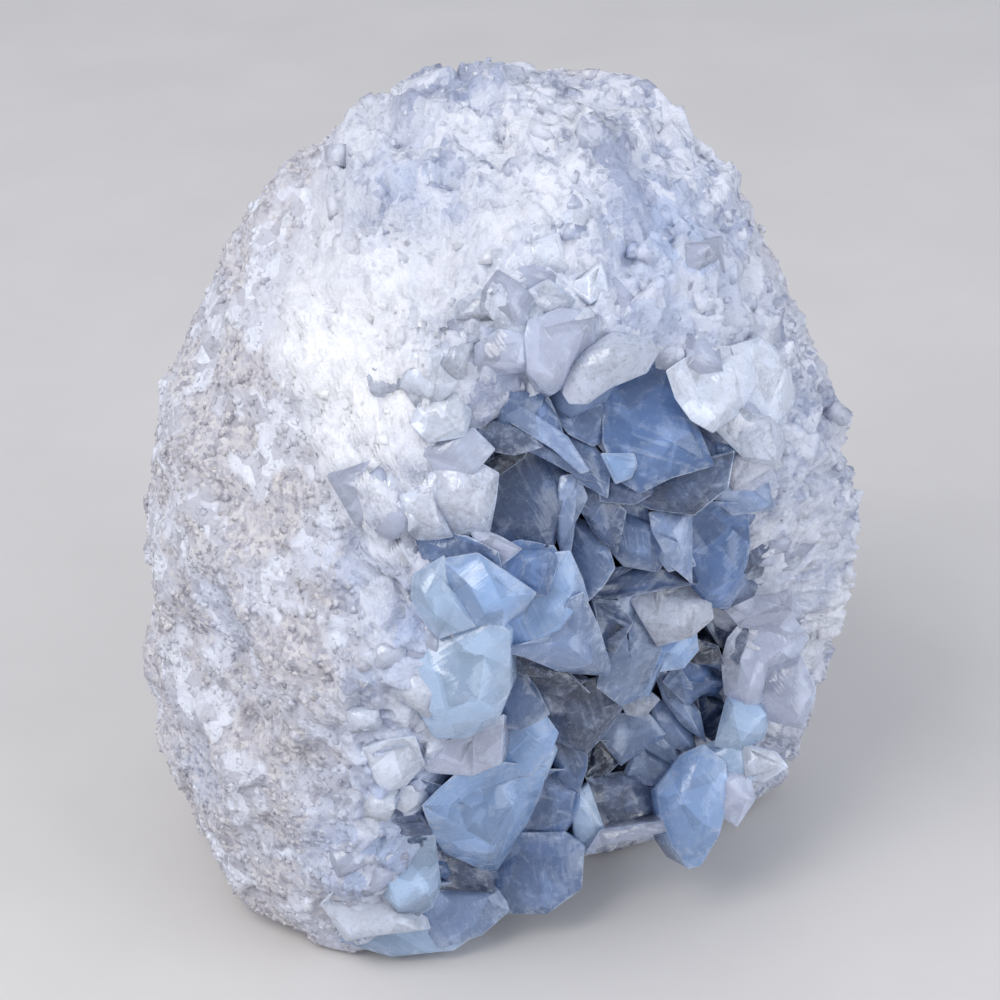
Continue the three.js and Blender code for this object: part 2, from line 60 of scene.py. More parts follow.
HEIGHT = 160
HALF_WIDTH = 66
DEPTH_RATIO = 0.92
WIDEST_LEVEL = 57
LOWER_REACH = 157
UPPER_POWER = 1.9
LOWER_POWER = 1.5
HEART = np.array([0, 0, 62.0])
BASE_ROUNDING = 14
HALVINGS = 40

# The broken front and the mouth of the hollow, with the angle of the rim and the width of the
# sugary zone outside it, in degrees, at every thirty degrees round the mouth from the right upwards.
# The zone's edge is ragged: cell size, amount in degrees and seed

BREAK_TURN = 32.5
BREAK_LEAN = -18
BREAK_DISTANCE = 22
BREAK_ROUNDING = 12
MOUTH_TURN = 31
MOUTH_LEAN = -6
RIM_ANGLES = np.array([40, 39, 46, 67, 69, 48, 45, 53, 65, 59, 61, 50])
SUGAR_WIDTHS = np.array([34, 32, 34, 40, 28, 14, 13, 6, 5, 8, 14, 28])
SUGAR_FADE = 7
SUGAR_RAGS = [(14, 6, 31), (5, 3, 32)]
LIP_ANGLE = 7
LIP_DROP = 0.08
MOUTH_MIDDLE = np.array([22, -46, 60.0])
HOLLOW_DEPTH = 54

# Places where the rind is whiter or, below zero, greyer than usual, and where it is bluer: across
# and up as seen, their reach in millimetres, and how much they differ

PLACES = {
    "white": [
        ((-32, 32), 17, 1.0), ((-22, 12), 12, 0.7), ((-1, 62), 18, 0.4), ((12, 45), 10, 0.3),
        ((66, -22), 14, 0.6), ((57, -52), 12, 0.5), ((40, 22), 12, 0.5), ((-34, -58), 16, 0.6),
        ((-46, -40), 12, 0.5), ((-24, -74), 12, 0.4), ((33, 46), 14, -0.9), ((-10, 56), 8, -0.6),
        ((55, 30), 14, -0.5), ((60, 0), 12, -0.3), ((-14, 2), 9, -0.7), ((-20, -30), 12, -0.2),
    ],
    "blue": [
        ((34, 48), 15, 0.8), ((-17, 60), 9, 0.5), ((7, 34), 12, 0.5), ((-4, 78), 8, 0.3),
        ((-17, -26), 10, 0.8), ((-19, -48), 12, 0.7), ((-23, -67), 14, 1.0), ((-14, -80), 13, 1.0),
        ((54, -16), 12, 0.5), ((56, 10), 10, 0.4), ((52, -42), 10, 0.6), ((-52, -20), 9, 0.4),
        ((-30, -12), 8, 0.4), ((-55, -50), 9, 0.4),
    ],
}

# Relief of the rind: cell size, height and seed of its lumps, of the tilted faces of its sugary
# zone and of the small lumps of its skin; how sharp the edges between faces are; and how far, in
# cells, a face stands higher or lower than its neighbours

LUMPS = [(26, 4.0, 11), (12, 2.4, 12)]
LUMP_SHARPNESS = 9
SUGAR_FACES = [(9, 2.6, 21), (4.4, 1.8, 22), (2.1, 0.8, 25)]
SUGAR_SHARPNESS = 32
STEP_SHARE = 0.5
SKIN_LUMPS = [(7, 1.1, 23), (2.6, 0.4, 24)]
SKIN_SHARPNESS = 20

# The fine surface: the points round it; its rows at the back, in front, on the lip and on the wall;
# the least width of the rows in front, in degrees; and how often its normals are evened out

COLUMNS = 600
BACK_ROWS = 56
SUGAR_ROWS = 84
OUTER_ROWS = BACK_ROWS + SUGAR_ROWS
FINE_WIDTH = 42
LIP_ROWS = 10
WALL_ROWS = 14
NORMAL_ROUNDS = 12

# The sight: the crystals are placed as seen from the front, from above

SIGHT_LEAN = 30
SIGHT_CENTRE = np.array([0, 0, 75.0])
SIGHT_DISTANCE = 520

# Small crystals: how far the middle of a profile lies off its axis, how many degrees its directions
# wander and by what share its sides do, how little of the sight may fall across an axis before it
# counts as end on, the least facing of a side that bounds it, and the distance that stands for none

SKEW = 0.45
WANDER = 5
SIDE_WANDER = 0.08
END_ON = 0.35
LEAST_FACING = 0.05
FAR = 1e6
CRYSTAL_SEED = 40

# Crystals by their fronts: how much they overlap; how the front follows the egg, leans, and stands
# out where it is part of the lip; how the foot shrinks, shifts and is let into the wall, which is
# known at points on spokes and steps; and the greatest share that the bevel takes of the front

OVERLAP = 1.18
FLAT_BACK = 8
LEAST_FOLLOW = 0.3
FRONT_LEAN = 0.5
LIP_BACK = 1.6
LIP_RAISE = 0.8
FOOT_SHRINK = 0.8
FOOT_SHIFT = 0.6
WALL_BITE = 4
WALL_SPOKES, WALL_STEPS = 48, 12
MOST_INSET = 0.3

# Their flat top faces: the least and the greatest share of the way to the rim, how much of it each
# millimetre of the peak takes and chance changes, the tilt, the share by which corners stay apart,
# the sizes that are tried until no face is turned over, and the least area that counts as turned

TOP_SHARES = (0.45, 0.9)
TOP_FALL = 0.16
TOP_CHANCE = 0.2
TOP_TILT = 0.25
TOP_CORNER = 0.15
TOP_SHRINKS = (1, 0.8, 0.6, 0.45, 0.3, 0.2)
LEAST_AREA = 0.02

# Numbers of their faces, for the painted light and shade of each: the first slope, the rim, the foot
# and the top. The frost at the foot. The share of the painted facet shade that a crystal with no peak
# gets, and the peak that gets the whole of it

FIRST_SLOPE, RIM_FACE, FOOT_FACE, TOP_FACE = 30, 90, 91, 92
FOOT_FROST = 0.3
LEAST_PAINTED_SHADE = 0.3
FULLY_PAINTED_PEAK = 3

# Crystals by their fronts: the outline's corners in millimetres across and up as seen; how far the
# front lies behind the face of the egg; its peak, across, up and out from the front; and the tint.

CRYSTALS = [
    # Pale teeth and plates that hang from the upper lip
    ([(19, 45), (26.5, 46), (27, 40), (23, 37.5), (18, 37)], 5, (23, 42, 1.5), "lilac"),
    ([(27, 49.5), (34, 52), (40.5, 49.5), (41.5, 43), (36, 37.5), (29, 39.5),
      (26.5, 44.5)], 3, (34.5, 45, 2.5), "lilac"),
    ([(18, 33.5), (20.5, 38), (28.5, 38), (31, 33.5), (30, 28.5), (26.5, 29.5),
      (21, 30.5)], 6, (25.5, 34.5, 1), "grey"),
    ([(0.5, 40), (5.5, 41), (7, 34.5), (5.5, 29.5), (0, 30)], 3, (3, 36, 1), "lilac"),
    ([(-7.5, 37.5), (-4, 40.5), (1, 40), (0.5, 34), (-5.5, 31), (-8, 34.5)], 1, (-4, 36, 1.5), "clear"),
    ([(5, 36), (5.5, 39.5), (9, 41.5), (13.5, 38), (11.5, 34.5), (6.5, 34)], 1, (8.5, 38, 1), "clear"),
    ([(13, 41), (15, 45), (19, 45.5), (20, 40), (17, 38)], 1, (16.5, 42, 1), "milk"),
    ([(5.5, 31), (6, 33.5), (11.5, 35.5), (17.5, 34.5), (17, 29.5), (13.5, 26.5), (11.5, 22.5),
      (10, 21.5), (8, 22.5), (6, 25.5)], 0, (11.5, 29.5, 2), "lilac"),
    ([(-4, 29.5), (0, 32), (5.5, 31), (6, 26.5), (4, 25), (-1, 24.5),
      (-5, 25.5)], 1, (1, 28.5, 1.5), "lilac"),
    ([(13, 21), (13.5, 25.5), (17, 28.5), (21, 31), (27, 30), (28.5, 28), (26.5, 24.5), (20.5, 22),
      (17, 19.5), (14, 19.5)], -0.5, (20, 26.5, 2.5), "clear"),
    ([(30.5, 29.5), (31.5, 33.5), (35.5, 34.5), (39.5, 33.5), (37, 30), (34, 28),
      (31, 25.5)], 6, (34, 31, -1), "smoke"),
    ([(41.5, 28.5), (43, 31), (45.5, 33), (45.5, 31), (44, 28.5)], 3, (43.5, 30, 0.5), "smoke"),
    ([(32.5, 24.5), (35.5, 26.5), (41, 28.5), (45.5, 28.5), (48, 26.5), (47.5, 22), (44, 17.5),
      (40, 14.5), (36.5, 16.5), (34, 20)], -0.5, (40.5, 22.5, 3), "milk"),
    ([(44, 28.5), (49, 30), (54.5, 26), (54.5, 19.5), (50.5, 14.5), (44, 17.5),
      (46.5, 22)], -0.5, (50, 23, 2.5), "milk"),
    ([(44, 17.5), (50.5, 16.5), (53.5, 12), (51.5, 6.5), (46, 9),
      (41.5, 13.5)], 1, (48, 12.5, 1.5), "clear"),
    # Gritty and lilac blocks inside the left lip
    ([(-11.5, 6), (-5.5, 7.5), (-1, 5), (-1.5, 0.5), (-2.5, -4.5), (-8.5, -5.5), (-12, -0.5)], 3,
     (-6.5, 1, 3), "sandy"),
    ([(-18, 4.5), (-11.5, 6), (-12, -0.5), (-9.5, -5.5), (-15, -6.5), (-19, -2)], 1.7,
     (-14.5, -0.5, 2.5), "sandy"),
    ([(-13, 12), (-5.5, 13.5), (-2, 10), (-5.5, 6), (-11.5, 6), (-15, 8.5)], 2, (-9, 10, 1.2), "lilac"),
    ([(-14, 20), (-8, 22), (-6, 17), (-7, 13), (-13, 12), (-16, 15)], 1, (-11, 17, 1.2), "milk"),
    # Striped blades below the upper lip, and dark speckled ones at its left
    ([(-4.5, 21.5), (-3.5, 23.5), (-1.5, 23), (4, 18.5), (11.5, 13), (15, 7.5), (13.5, 7), (9, 11),
      (2.5, 15), (-2.5, 19)], 5, (5.5, 15.5, 0.8), "grey"),
    ([(-2.5, 24), (2.5, 25.5), (5.5, 24.5), (7.5, 19.5), (6.5, 16.5), (3, 17.5),
      (-0.5, 20.5)], 8, (2.5, 21, 0.5), "dusk"),
    ([(4.5, 24), (7.5, 23), (10.5, 16.5), (13, 9), (11.5, 9.5), (8.5, 12.5),
      (6, 18.5)], 6, (8.5, 17, 1), "steel"),
    ([(8.5, 21), (10.5, 21.5), (14, 20.5), (19, 19.5), (20, 13.5), (17, 11.5), (13, 13.5),
      (10.5, 16.5)], 9, (15, 16.5, 0.8), "steel"),
    ([(9.5, 14.5), (13, 13.5), (17, 11), (20, 7.5), (19.5, 2), (15, 4.5),
      (11.5, 9)], 9, (15.5, 8, 1), "steel"),
    ([(-5, 20), (-2.5, 18), (4, 14), (11.5, 9.5), (17, 5), (14, 5.5), (7.5, 9), (0, 12.5),
      (-4.5, 17)], 7, (4.5, 13, 1), "steel"),
    ([(-7, 18.5), (-4, 17), (0, 15), (5.5, 13), (7, 11), (2, 9.5), (-2.5, 10.5),
      (-6, 13)], 5, (-0.5, 13.5, 0.6), "smoke"),
    ([(-5.5, 6), (-2.5, 10), (5.5, 11.5), (4, 8.5), (-1.5, 4.5)], 8, (-0.5, 7.5, 0.5), "night"),
    # The dark face at the left of the middle, and the blades right of it
    ([(-4, 6), (0, 9), (6, 10), (11.5, 7.5), (11.5, 0.5), (10.5, -3), (9, -8), (5.5, -8.5), (1, -7),
      (-2.5, -4.5), (-1, 0.5)], 9, (5, 0.5, 0.6), "dusk"),
    ([(10.5, -4), (11.5, 4), (14.5, 4.5), (16, 0.5), (14, -3.5), (13, -10.5),
      (11.5, -8)], 8, (13, -1.5, 0.8), "grey"),
    ([(14, 4.5), (19, 2.5), (23, -1.5), (21.5, -8.5), (18, -5.5), (15, -0.5)], 10, (18.5, -2, 0.8), "dusk"),
    ([(13, -3), (17.5, -5), (20, -8.5), (21, -12), (19, -15), (15.5, -18.5),
      (13.5, -11)], 9, (17, -10.5, 1), "steel"),
    ([(20, 0.5), (26.5, 0), (28.5, -4), (31.5, -8.5), (29, -12), (23.5, -11),
      (20, -7)], 9, (25.5, -6, 1), "steel"),
    ([(26, 0.5), (30.5, -1.5), (34, -6), (36, -11), (31.5, -12), (28.5, -8)], 8, (31, -7, 0.8), "grey"),
    ([(16.5, -16.5), (20.5, -13), (28, -11), (36.5, -12), (36, -15), (28, -16.5),
      (19.5, -18)], 8, (27.5, -14, 0.8), "dusk"),
    # The great slab at the upper right, and its neighbours
    ([(20.5, 21), (26.5, 24), (31.5, 25.5), (34, 18.5), (38.5, 8), (31.5, 6), (26.5, 3.5), (22.5, 6),
      (20.5, 12)], 6, (28, 14, 0.4), "deep"),
    ([(19.5, 9), (25, 9), (25.5, 7), (24.5, 5), (22, 4)], 5, (23, 7, 0.4), "blue"),
    ([(17, 19), (20.5, 20), (20.5, 13.5), (20, 9.5), (18, 12)], 9, (19, 15, 0.5), "smoke"),
    ([(37, 13.5), (41, 15.5), (45.5, 15), (46, 10.5), (44, 7.5), (38, 6),
      (36.5, 9.5)], 6, (41.5, 11, 1), "deep"),
    ([(25.5, 3.5), (31.5, 6), (38.5, 8), (42.5, 9), (41.5, 3), (36, -1.5), (29, -0.5),
      (24, 2)], 7, (34, 3.5, 0.6), "dusk"),
    ([(41.5, 7.5), (46, 9.5), (50.5, 6), (50.5, 2), (51, -0.5), (44, -1.5),
      (40, 2)], 5, (46, 3.5, 1.2), "grey"),
    ([(19, 4.5), (26.5, 4.5), (28.5, 2), (25, 0), (19.5, 0.5)], 9, (23.5, 2.5, 0.5), "dusk"),
    # The six-sided blue crystal at the right, and pale ones on the lip beside it
    ([(35.5, -2.5), (37.5, -1), (45.5, -1.5), (46, -8), (45, -14.5), (42.5, -18.5), (38.5, -18),
      (35.5, -13.5), (35, -8)], 3, (40, -11, 2), "deep"),
    ([(28.5, -2.5), (35.5, -1), (35.5, -14), (32, -11), (29, -5.5)], 5, (33, -6, 1), "grey"),
    ([(45.5, -1.5), (50.5, -3), (51, -8), (49, -13), (45.5, -14)], 4, (47.5, -7.5, 1), "smoke"),
    ([(41.5, -18), (44, -13.5), (49, -12), (53, -15.5), (55.5, -20.5), (51.5, -23.5),
      (45.5, -22.5)], 1, (48.5, -18, 2), "lilac"),
    ([(43.5, -26), (46, -23), (53.5, -21.5), (56.5, -26), (54.5, -30), (50.5, -31), (49.5, -36),
      (46, -38), (43, -35), (42.5, -29.5)], 0, (48, -29, 2.5), "lilac"),
    ([(41, -45), (43, -37), (48, -36.5), (50.5, -39.5), (49, -44), (45, -46)], 0.5, (46, -41, 2), "pale"),
    ([(50.5, -31), (56, -29.5), (58.5, -35), (56.5, -41.5), (50.5, -40),
      (49, -36)], -0.5, (53.5, -35.5, 2), "lilac"),
    # The blue point at the left that aims to the right, and what is round it
    ([(-10, -11.5), (-4, -10.5), (0.5, -13.5), (5.5, -17), (3.5, -19.5), (1, -21.5), (0, -24.5),
      (-5.5, -23.5), (-8.5, -18.5), (-10.5, -14.5)], 0, (0, -17.5, 3), "blue"),
    ([(-15.5, -7), (-11.5, -5.5), (-6.5, -6.5), (-1.5, -9), (-1, -11.5), (-9.5, -11.5),
      (-14.5, -10.5)], 1.5, (-8.5, -8.5, 1), "steel"),
    ([(-15.5, -14), (-10.5, -11), (-9, -16.5), (-6.5, -19.5), (-5.5, -22.5), (-11.5, -24.5),
      (-14.5, -21), (-16, -17.5)], -0.5, (-11.5, -18, 2), "pale"),
    ([(-1, -9), (4, -7.5), (9.5, -8.5), (10.5, -10.5), (8.5, -16.5), (5.5, -16.5),
      (1, -13)], 5, (5, -11.5, 0.8), "deep"),
    ([(-6, -4), (0, -6.5), (3.5, -8.5), (-1, -12), (-4, -8)], 3, (-1, -8.5, 0.8), "lilac"),
    # The great three-cornered crystal in the middle, in two faces, and lobes at its right
    ([(0, -26.5), (1, -21.5), (5.5, -19), (8.5, -11), (12.5, -10.5), (14.5, -15), (15.5, -18.5),
      (13, -21.5), (10, -25.5), (4.5, -27)], 3, (9, -22, 2), "blue"),
    ([(-0.5, -27), (4.5, -26.5), (9.5, -25), (13, -19), (15, -18), (17.5, -23.5), (19.5, -30),
      (19, -31.5), (11.5, -31), (5.5, -28.5)], 0.5, (12, -26, 2), "grey"),
    ([(17.5, -18.5), (22, -19), (24.5, -22.5), (21.5, -27.5), (19, -26)], 6, (20.5, -22.5, 0.4), "dusk"),
    ([(22, -18.5), (26.5, -17.5), (28.5, -22), (29.5, -27.5), (26.5, -35), (23, -36.5), (19, -33.5),
      (20, -28.5), (24, -23)], 3, (24.5, -28, 2), "grey"),
    ([(25.5, -18.5), (29, -16), (35.5, -16), (38.5, -18), (39, -21.5), (35.5, -24.5), (30, -26),
      (27.5, -22)], 3.5, (33, -20, 2), "clear"),
    ([(28.5, -26), (36, -24), (36.5, -28), (34, -31), (30, -31.5), (28.5, -35.5),
      (26.5, -35)], 5, (31.5, -28.5, 1.2), "blue"),
    ([(23, -37.5), (27, -35), (29.5, -37), (27, -40), (24, -39.5)], 6, (26.5, -37.5, 1), "clear"),
    # Dark and glassy crystals at the lower right
    ([(33.5, -28.5), (36, -25.5), (40.5, -27), (41.5, -30), (36.5, -30)], 7, (37.5, -28, 0.4), "night"),
    ([(39, -22.5), (40.5, -19), (45.5, -21), (46.5, -24), (44.5, -29.5),
      (41, -26)], 5, (43, -24, 0.8), "smoke"),
    ([(31.5, -33.5), (34, -30), (41.5, -29.5), (43.5, -33.5), (38, -35.5),
      (35.5, -37.5)], 6, (37, -33, 0.8), "steel"),
    ([(29, -31), (32.5, -33), (37, -39), (38, -44), (34, -41), (31, -37)], 5, (34, -37.5, 1), "grey"),
    ([(37, -35.5), (44.5, -33), (43.5, -38), (41.5, -45), (37.5, -42)], 6, (40.5, -38, 0.8), "dusk"),
    ([(29, -37), (31.5, -38), (35.5, -42.5), (36.5, -46.5), (31.5, -45),
      (29, -41)], 6, (32.5, -41.5, 1), "grey"),
    # Grey and dark crystals on the floor of the hollow
    ([(0.5, -27.5), (5.5, -28.5), (11.5, -31), (15.5, -35), (8.5, -32.5), (4, -32),
      (2, -29.5)], 7, (7, -31, 0.4), "night"),
    ([(4.5, -31.5), (10.5, -31), (16, -33), (11.5, -36), (5.5, -34.5)], 8, (10, -33, 0.8), "smoke"),
    ([(-0.5, -27.5), (2.5, -30), (4.5, -32), (6.5, -35), (8.5, -39), (4, -41.5), (-0.5, -41),
      (-1, -35)], 6, (2.5, -36, 0.8), "steel"),
    ([(8.5, -35), (15.5, -34), (20, -33), (23, -37), (19, -43), (16, -46), (11.5, -44),
      (9, -40)], 7, (15.5, -39, 1), "smoke"),
    ([(19, -43.5), (22.5, -40), (27.5, -40), (30.5, -43.5), (26.5, -46),
      (23, -48.5)], 6, (25, -43.5, 1), "grey"),
    ([(15, -47.5), (17.5, -45), (20, -45), (22, -48.5), (19, -51.5),
      (16.5, -51.5)], 7, (18.5, -48, -1), "night"),
    ([(26, -45.5), (32, -44), (32.5, -49.5), (28.5, -52.5), (23.5, -51.5)], 5, (28, -48.5, 1), "grey"),
    ([(10.5, -44), (16, -45.5), (16, -49.5), (14.5, -54), (10.5, -51.5)], 5, (13, -48.5, 0.8), "steel"),
    ([(17, -52), (23, -51), (28, -53), (28, -58), (22, -60), (18, -56.5)], 5, (22.5, -55.5, 1), "smoke"),
    ([(13.5, -56.5), (16.5, -53.5), (19, -60.5), (17.5, -65), (14.5, -64.5)], 2, (16, -60, 1), "pale"),
    ([(17, -65.5), (19.5, -61.5), (30, -60), (31.5, -61.5), (25, -63),
      (19, -64.5)], 1, (24.5, -62, 0.6), "lilac"),
    # The hanging blue point at the lower right
    ([(30.5, -54), (34.5, -48.5), (38, -47), (41.5, -50), (42, -55.5), (40.5, -61.5), (37.5, -66.5),
      (35.5, -67), (33, -63.5), (31, -58.5)], 0, (37, -55.5, 3), "blue"),
    ([(35, -47.5), (43, -44), (47.5, -46.5), (46.5, -51.5), (41.5, -51.5),
      (37.5, -49.5)], 1, (41.5, -48, 1.5), "pale"),
    ([(45.5, -45.5), (51.5, -47), (53.5, -49.5), (49.5, -52), (46, -51.5)], 0, (49, -49, 1), "milk"),
    ([(41.5, -51), (46.5, -51), (47.5, -55.5), (44.5, -60), (41.5, -58)], 0, (44, -55, 1.5), "lilac"),
    # The rounded block at the left, and the blue crystals below it
    ([(-14, -26), (-9.5, -24), (-2, -23.5), (0.5, -25.5), (0.5, -35), (-1.5, -40), (-6.5, -42.5),
      (-11.5, -42.5), (-14, -38.5), (-15, -31)], -1, (-7, -32.5, 3.5), "pale"),
    ([(-14.5, -43.5), (-5.5, -42.5), (-0.5, -40.5), (-1, -48.5), (-5.5, -50.5), (-12.5, -50),
      (-16, -46.5)], 0, (-8.5, -46.5, 2), "lilac"),
    ([(-1, -41), (7.5, -40), (10, -43.5), (8.5, -47.5), (5.5, -50.5), (-0.5, -50.5),
      (-2.5, -47.5)], 2, (3.5, -45, 1.5), "blue"),
    ([(8.5, -43), (10.5, -46.5), (8.5, -51.5), (5.5, -50)], 3, (8.5, -48, 0.8), "pale"),
    ([(-25, -46.5), (-20.5, -45), (-16.5, -44.5), (-15, -49), (-18, -52.5), (-21.5, -54),
      (-24.5, -51)], -0.5, (-20, -49, 2), "milk"),
    ([(-10, -54), (-6.5, -51), (0, -50), (7, -51), (6, -55.5), (3, -61.5), (-1, -67.5), (-3, -67.5),
      (-9.5, -64.5), (-11.5, -61.5), (-13, -57)], -1, (-2.5, -57, 3.5), "blue"),
    ([(-20.5, -55.5), (-16, -52.5), (-11, -54), (-12, -61.5), (-9, -64.5), (-17, -64),
      (-19, -60)], 1, (-15.5, -58.5, 1), "dusk"),
    ([(2.5, -61.5), (6.5, -55.5), (8.5, -51), (14.5, -51), (14, -58.5), (11.5, -61.5),
      (5.5, -61.5)], 2.5, (9, -57, 1.2), "steel"),
    # Blocks at the foot of the left side
    ([(-0.5, -69), (2.5, -63), (11.5, -63), (14.5, -65), (14, -72), (8.5, -76), (1.5, -76),
      (-1, -73)], 0.5, (6, -69, 2), "steel"),
    ([(-13.5, -64), (-9.5, -64.5), (-2.5, -67.5), (0.5, -69), (-0.5, -73), (-6.5, -72),
      (-13, -72)], 1, (-6.5, -69, 1), "smoke"),
    ([(-21.5, -64), (-13, -63.5), (-12, -72), (-13.5, -76), (-19, -76.5), (-22, -73),
      (-23.5, -68)], -0.5, (-17.5, -70, 2), "pale"),
    ([(-14, -72.5), (-6.5, -71.5), (-0.5, -72.5), (0.5, -76.5), (-4, -80.5), (-10.5, -82.5),
      (-14.5, -78.5)], -0.5, (-7, -76.5, 2), "grey"),
    ([(-28, -82), (-21.5, -80), (-13, -78.5), (-7, -77.5), (-2.5, -78.5), (-9.5, -83.5),
      (-19.5, -84.5)], -0.5, (-14, -81.5, 1), "pale"),
    ([(-32, -75.5), (-28, -71.5), (-22.5, -73), (-18.5, -76.5), (-14, -76.5), (-14, -79.5),
      (-21.5, -80.5), (-28, -81.5)], -0.5, (-23.5, -76.5, 1.5), "milk"),
]

# What each tint looks like: its colour in sRGB from 0 to 255, and how cloudy and how gritty it is

TINTS = {
    "milk": ((208, 214, 228), 0.7, 0.25),
    "lilac": ((184, 190, 212), 0.55, 0.05),
    "clear": ((196, 202, 218), 0.5, 0.35),
    "pale": ((176, 201, 232), 0.5, 0.05),
    "blue": ((156, 188, 234), 0.4, 0.0),
    "deep": ((98, 132, 186), 0.35, 0.0),
    "grey": ((138, 160, 200), 0.4, 0.1),
    "steel": ((108, 134, 180), 0.3, 0.1),
    "smoke": ((98, 112, 144), 0.3, 0.25),
    "sandy": ((186, 190, 204), 0.8, 0.35),
    "dusk": ((82, 104, 146), 0.3, 0.1),
    "night": ((38, 48, 74), 0.3, 0.3),
}

# The crystals' tints, and the colour and density of what their depth absorbs: for the pieces of
# named crystals, for the lip, with the share of each tint, and for the druse, whose tips stay at
# least a gap behind the fronts

CRYSTAL_PIECES = {
    "pale_crystals": (("milk", "lilac", "clear", "pale", "sandy"), (205, 216, 238), 50),
    "blue_crystals": (("blue", "deep"), (150, 180, 225), 55),
    "smoky_crystals": (("grey", "steel", "smoke", "dusk", "night"), (120, 140, 170), 70),
}
LIP_TINTS = {"lilac": 0.5, "milk": 0.35, "clear": 0.15}
LIP_ABSORBED = ((235, 238, 250), 30)
DRUSE_TINTS = ["dusk", "steel", "steel", "grey", "deep"]
DRUSE_ABSORBED = ((120, 145, 185), 60)
DRUSE_GAP = 3


def unit(vectors):
    """The vectors with length one, along the last axis."""
    return vectors / np.linalg.norm(vectors, axis=-1, keepdims=True)


def facing(turn, lean):
    """A direction from its turn about +Z, away from the front, and its lean above the level."""
    turn, lean = math.radians(turn), math.radians(lean)
    level = math.cos(lean)
    return np.array([math.sin(turn) * level, -math.cos(turn) * level, math.sin(lean)])


BREAK = facing(BREAK_TURN, BREAK_LEAN)
MOUTH = facing(MOUTH_TURN, MOUTH_LEAN)
MOUTH_RIGHT = unit(np.cross([0, 0, 1], MOUTH))
MOUTH_UP = np.cross(MOUTH, MOUTH_RIGHT)
SIGHT_RIGHT = np.array([1.0, 0, 0])
SIGHT_UP = np.cross(facing(0, SIGHT_LEAN), SIGHT_RIGHT)
SIGHT_IN = -facing(0, SIGHT_LEAN)


def fraction(i, j, k, seed):
    """A number from 0 to 1 that always belongs to the same three whole numbers and seed: each is
    multiplied by a large odd number, and the products are mixed, shifted and multiplied again."""
    i, j, k, seed = (np.atleast_1d(n).astype(np.int64).astype(np.uint32) for n in (i, j, k, seed))
    h = i * np.uint32(0x27D4EB2D) ^ j * np.uint32(0x165667B1)
    h = h ^ k * np.uint32(0x9E3779B1) ^ seed * np.uint32(0x85EBCA6B)
    h = (h ^ (h >> np.uint32(15))) * np.uint32(0x2C1B3C6D)
    h = (h ^ (h >> np.uint32(12))) * np.uint32(0x297A2D39)
    return (h ^ (h >> np.uint32(15))) / 2.0**32


def cell_draws(points, cell, seed):
    """For each of the 27 cells round the points: the offset from the cell's scattered point, and
    a function that gives the cell's further random numbers."""
    at = points / cell
    base = np.floor(at).astype(np.int64)
    for n in range(27):
        i = base[..., 0] + n % 3 - 1
        j = base[..., 1] + n // 3 % 3 - 1
        k = base[..., 2] + n // 9 - 1

        def draw(s, i=i, j=j, k=k):
            return fraction(i, j, k, seed + 100 * s)

        centre = np.stack([i + draw(1), j + draw(2), k + draw(3)], axis=-1)
        yield at - centre, draw


def facets(points, cell, seed, sharpness=LUMP_SHARPNESS):
    """Relief of flat tilted faces, between about -1 and 1: each cell of space has a plane of its
    own, and neighbouring planes are mixed with weights exp(-sharpness * distance squared)."""
    weights = 0
    height = 0
    for offset, draw in cell_draws(points, cell, seed):
        tilt = np.stack([draw(4), draw(5), draw(6)], axis=-1) * 2 - 1
        weight = np.exp(-sharpness * (offset**2).sum(-1))
        weights = weights + weight
        height = height + weight * ((tilt * offset).sum(-1) + STEP_SHARE * (draw(7) - 0.5))
    return height / weights


def nearest_draw(points, cell, seed):
    """A random number from 0 to 1 that belongs to the face of the relief that each point lies on:
    a draw of the cell whose scattered point is nearest."""
    least = np.full(points.shape[:-1], np.inf)
    tone = np.zeros(points.shape[:-1])
    for offset, draw in cell_draws(points, cell, seed):
        distance = (offset**2).sum(-1)
        tone = np.where(distance < least, draw(11), tone)
        least = np.minimum(least, distance)
    return tone


def rounded_min(a, b, width):
    """The smaller of two lengths, with the corner between them rounded over a width."""
    near = np.maximum(width - np.abs(a - b), 0) / width
    return np.minimum(a, b) - near**2 * width / 4


def periodic(values, round_):
    """Values at even angles round a circle, joined by a smooth periodic cubic curve."""
    count = len(values)
    place = round_ / (2 * np.pi) * count % count
    start = np.floor(place).astype(int) % count
    t = place - np.floor(place)
    a, b, c, d = (values[(start + step) % count] for step in (-1, 0, 1, 2))
    return b + 0.5 * t * (c - a + t * (2 * a - 5 * b + 4 * c - d + t * (3 * (b - c) + d - a)))


def egg_radius(direction):
    """Distance from the heart to the plain egg in each direction, found by halving. The egg is
    where (spread / half width) squared plus a power of the height above the widest level is 1."""
    inside = np.zeros(direction.shape[:-1])
    outside = np.full(direction.shape[:-1], float(HEIGHT))
    for _ in range(HALVINGS):
        middle = (inside + outside) / 2
        z = HEART[2] + direction[..., 2] * middle
        above = np.maximum(z - WIDEST_LEVEL, 0) / (HEIGHT - WIDEST_LEVEL)
        below = np.maximum(WIDEST_LEVEL - z, 0) / LOWER_REACH
        level = above**UPPER_POWER + below**LOWER_POWER
        spread = np.hypot(direction[..., 0], direction[..., 1] / DEPTH_RATIO) * middle / HALF_WIDTH
        beyond = spread**2 + level > 1
        outside = np.where(beyond, middle, outside)
        inside = np.where(beyond, inside, middle)
    return inside


def plane_radius(direction, normal, distance):
    """Distance from the heart to a plane in each direction, or very far where it is never met."""
    towards = direction @ normal
    return np.where(towards > 1e-6, distance / np.maximum(towards, 1e-6), FAR)


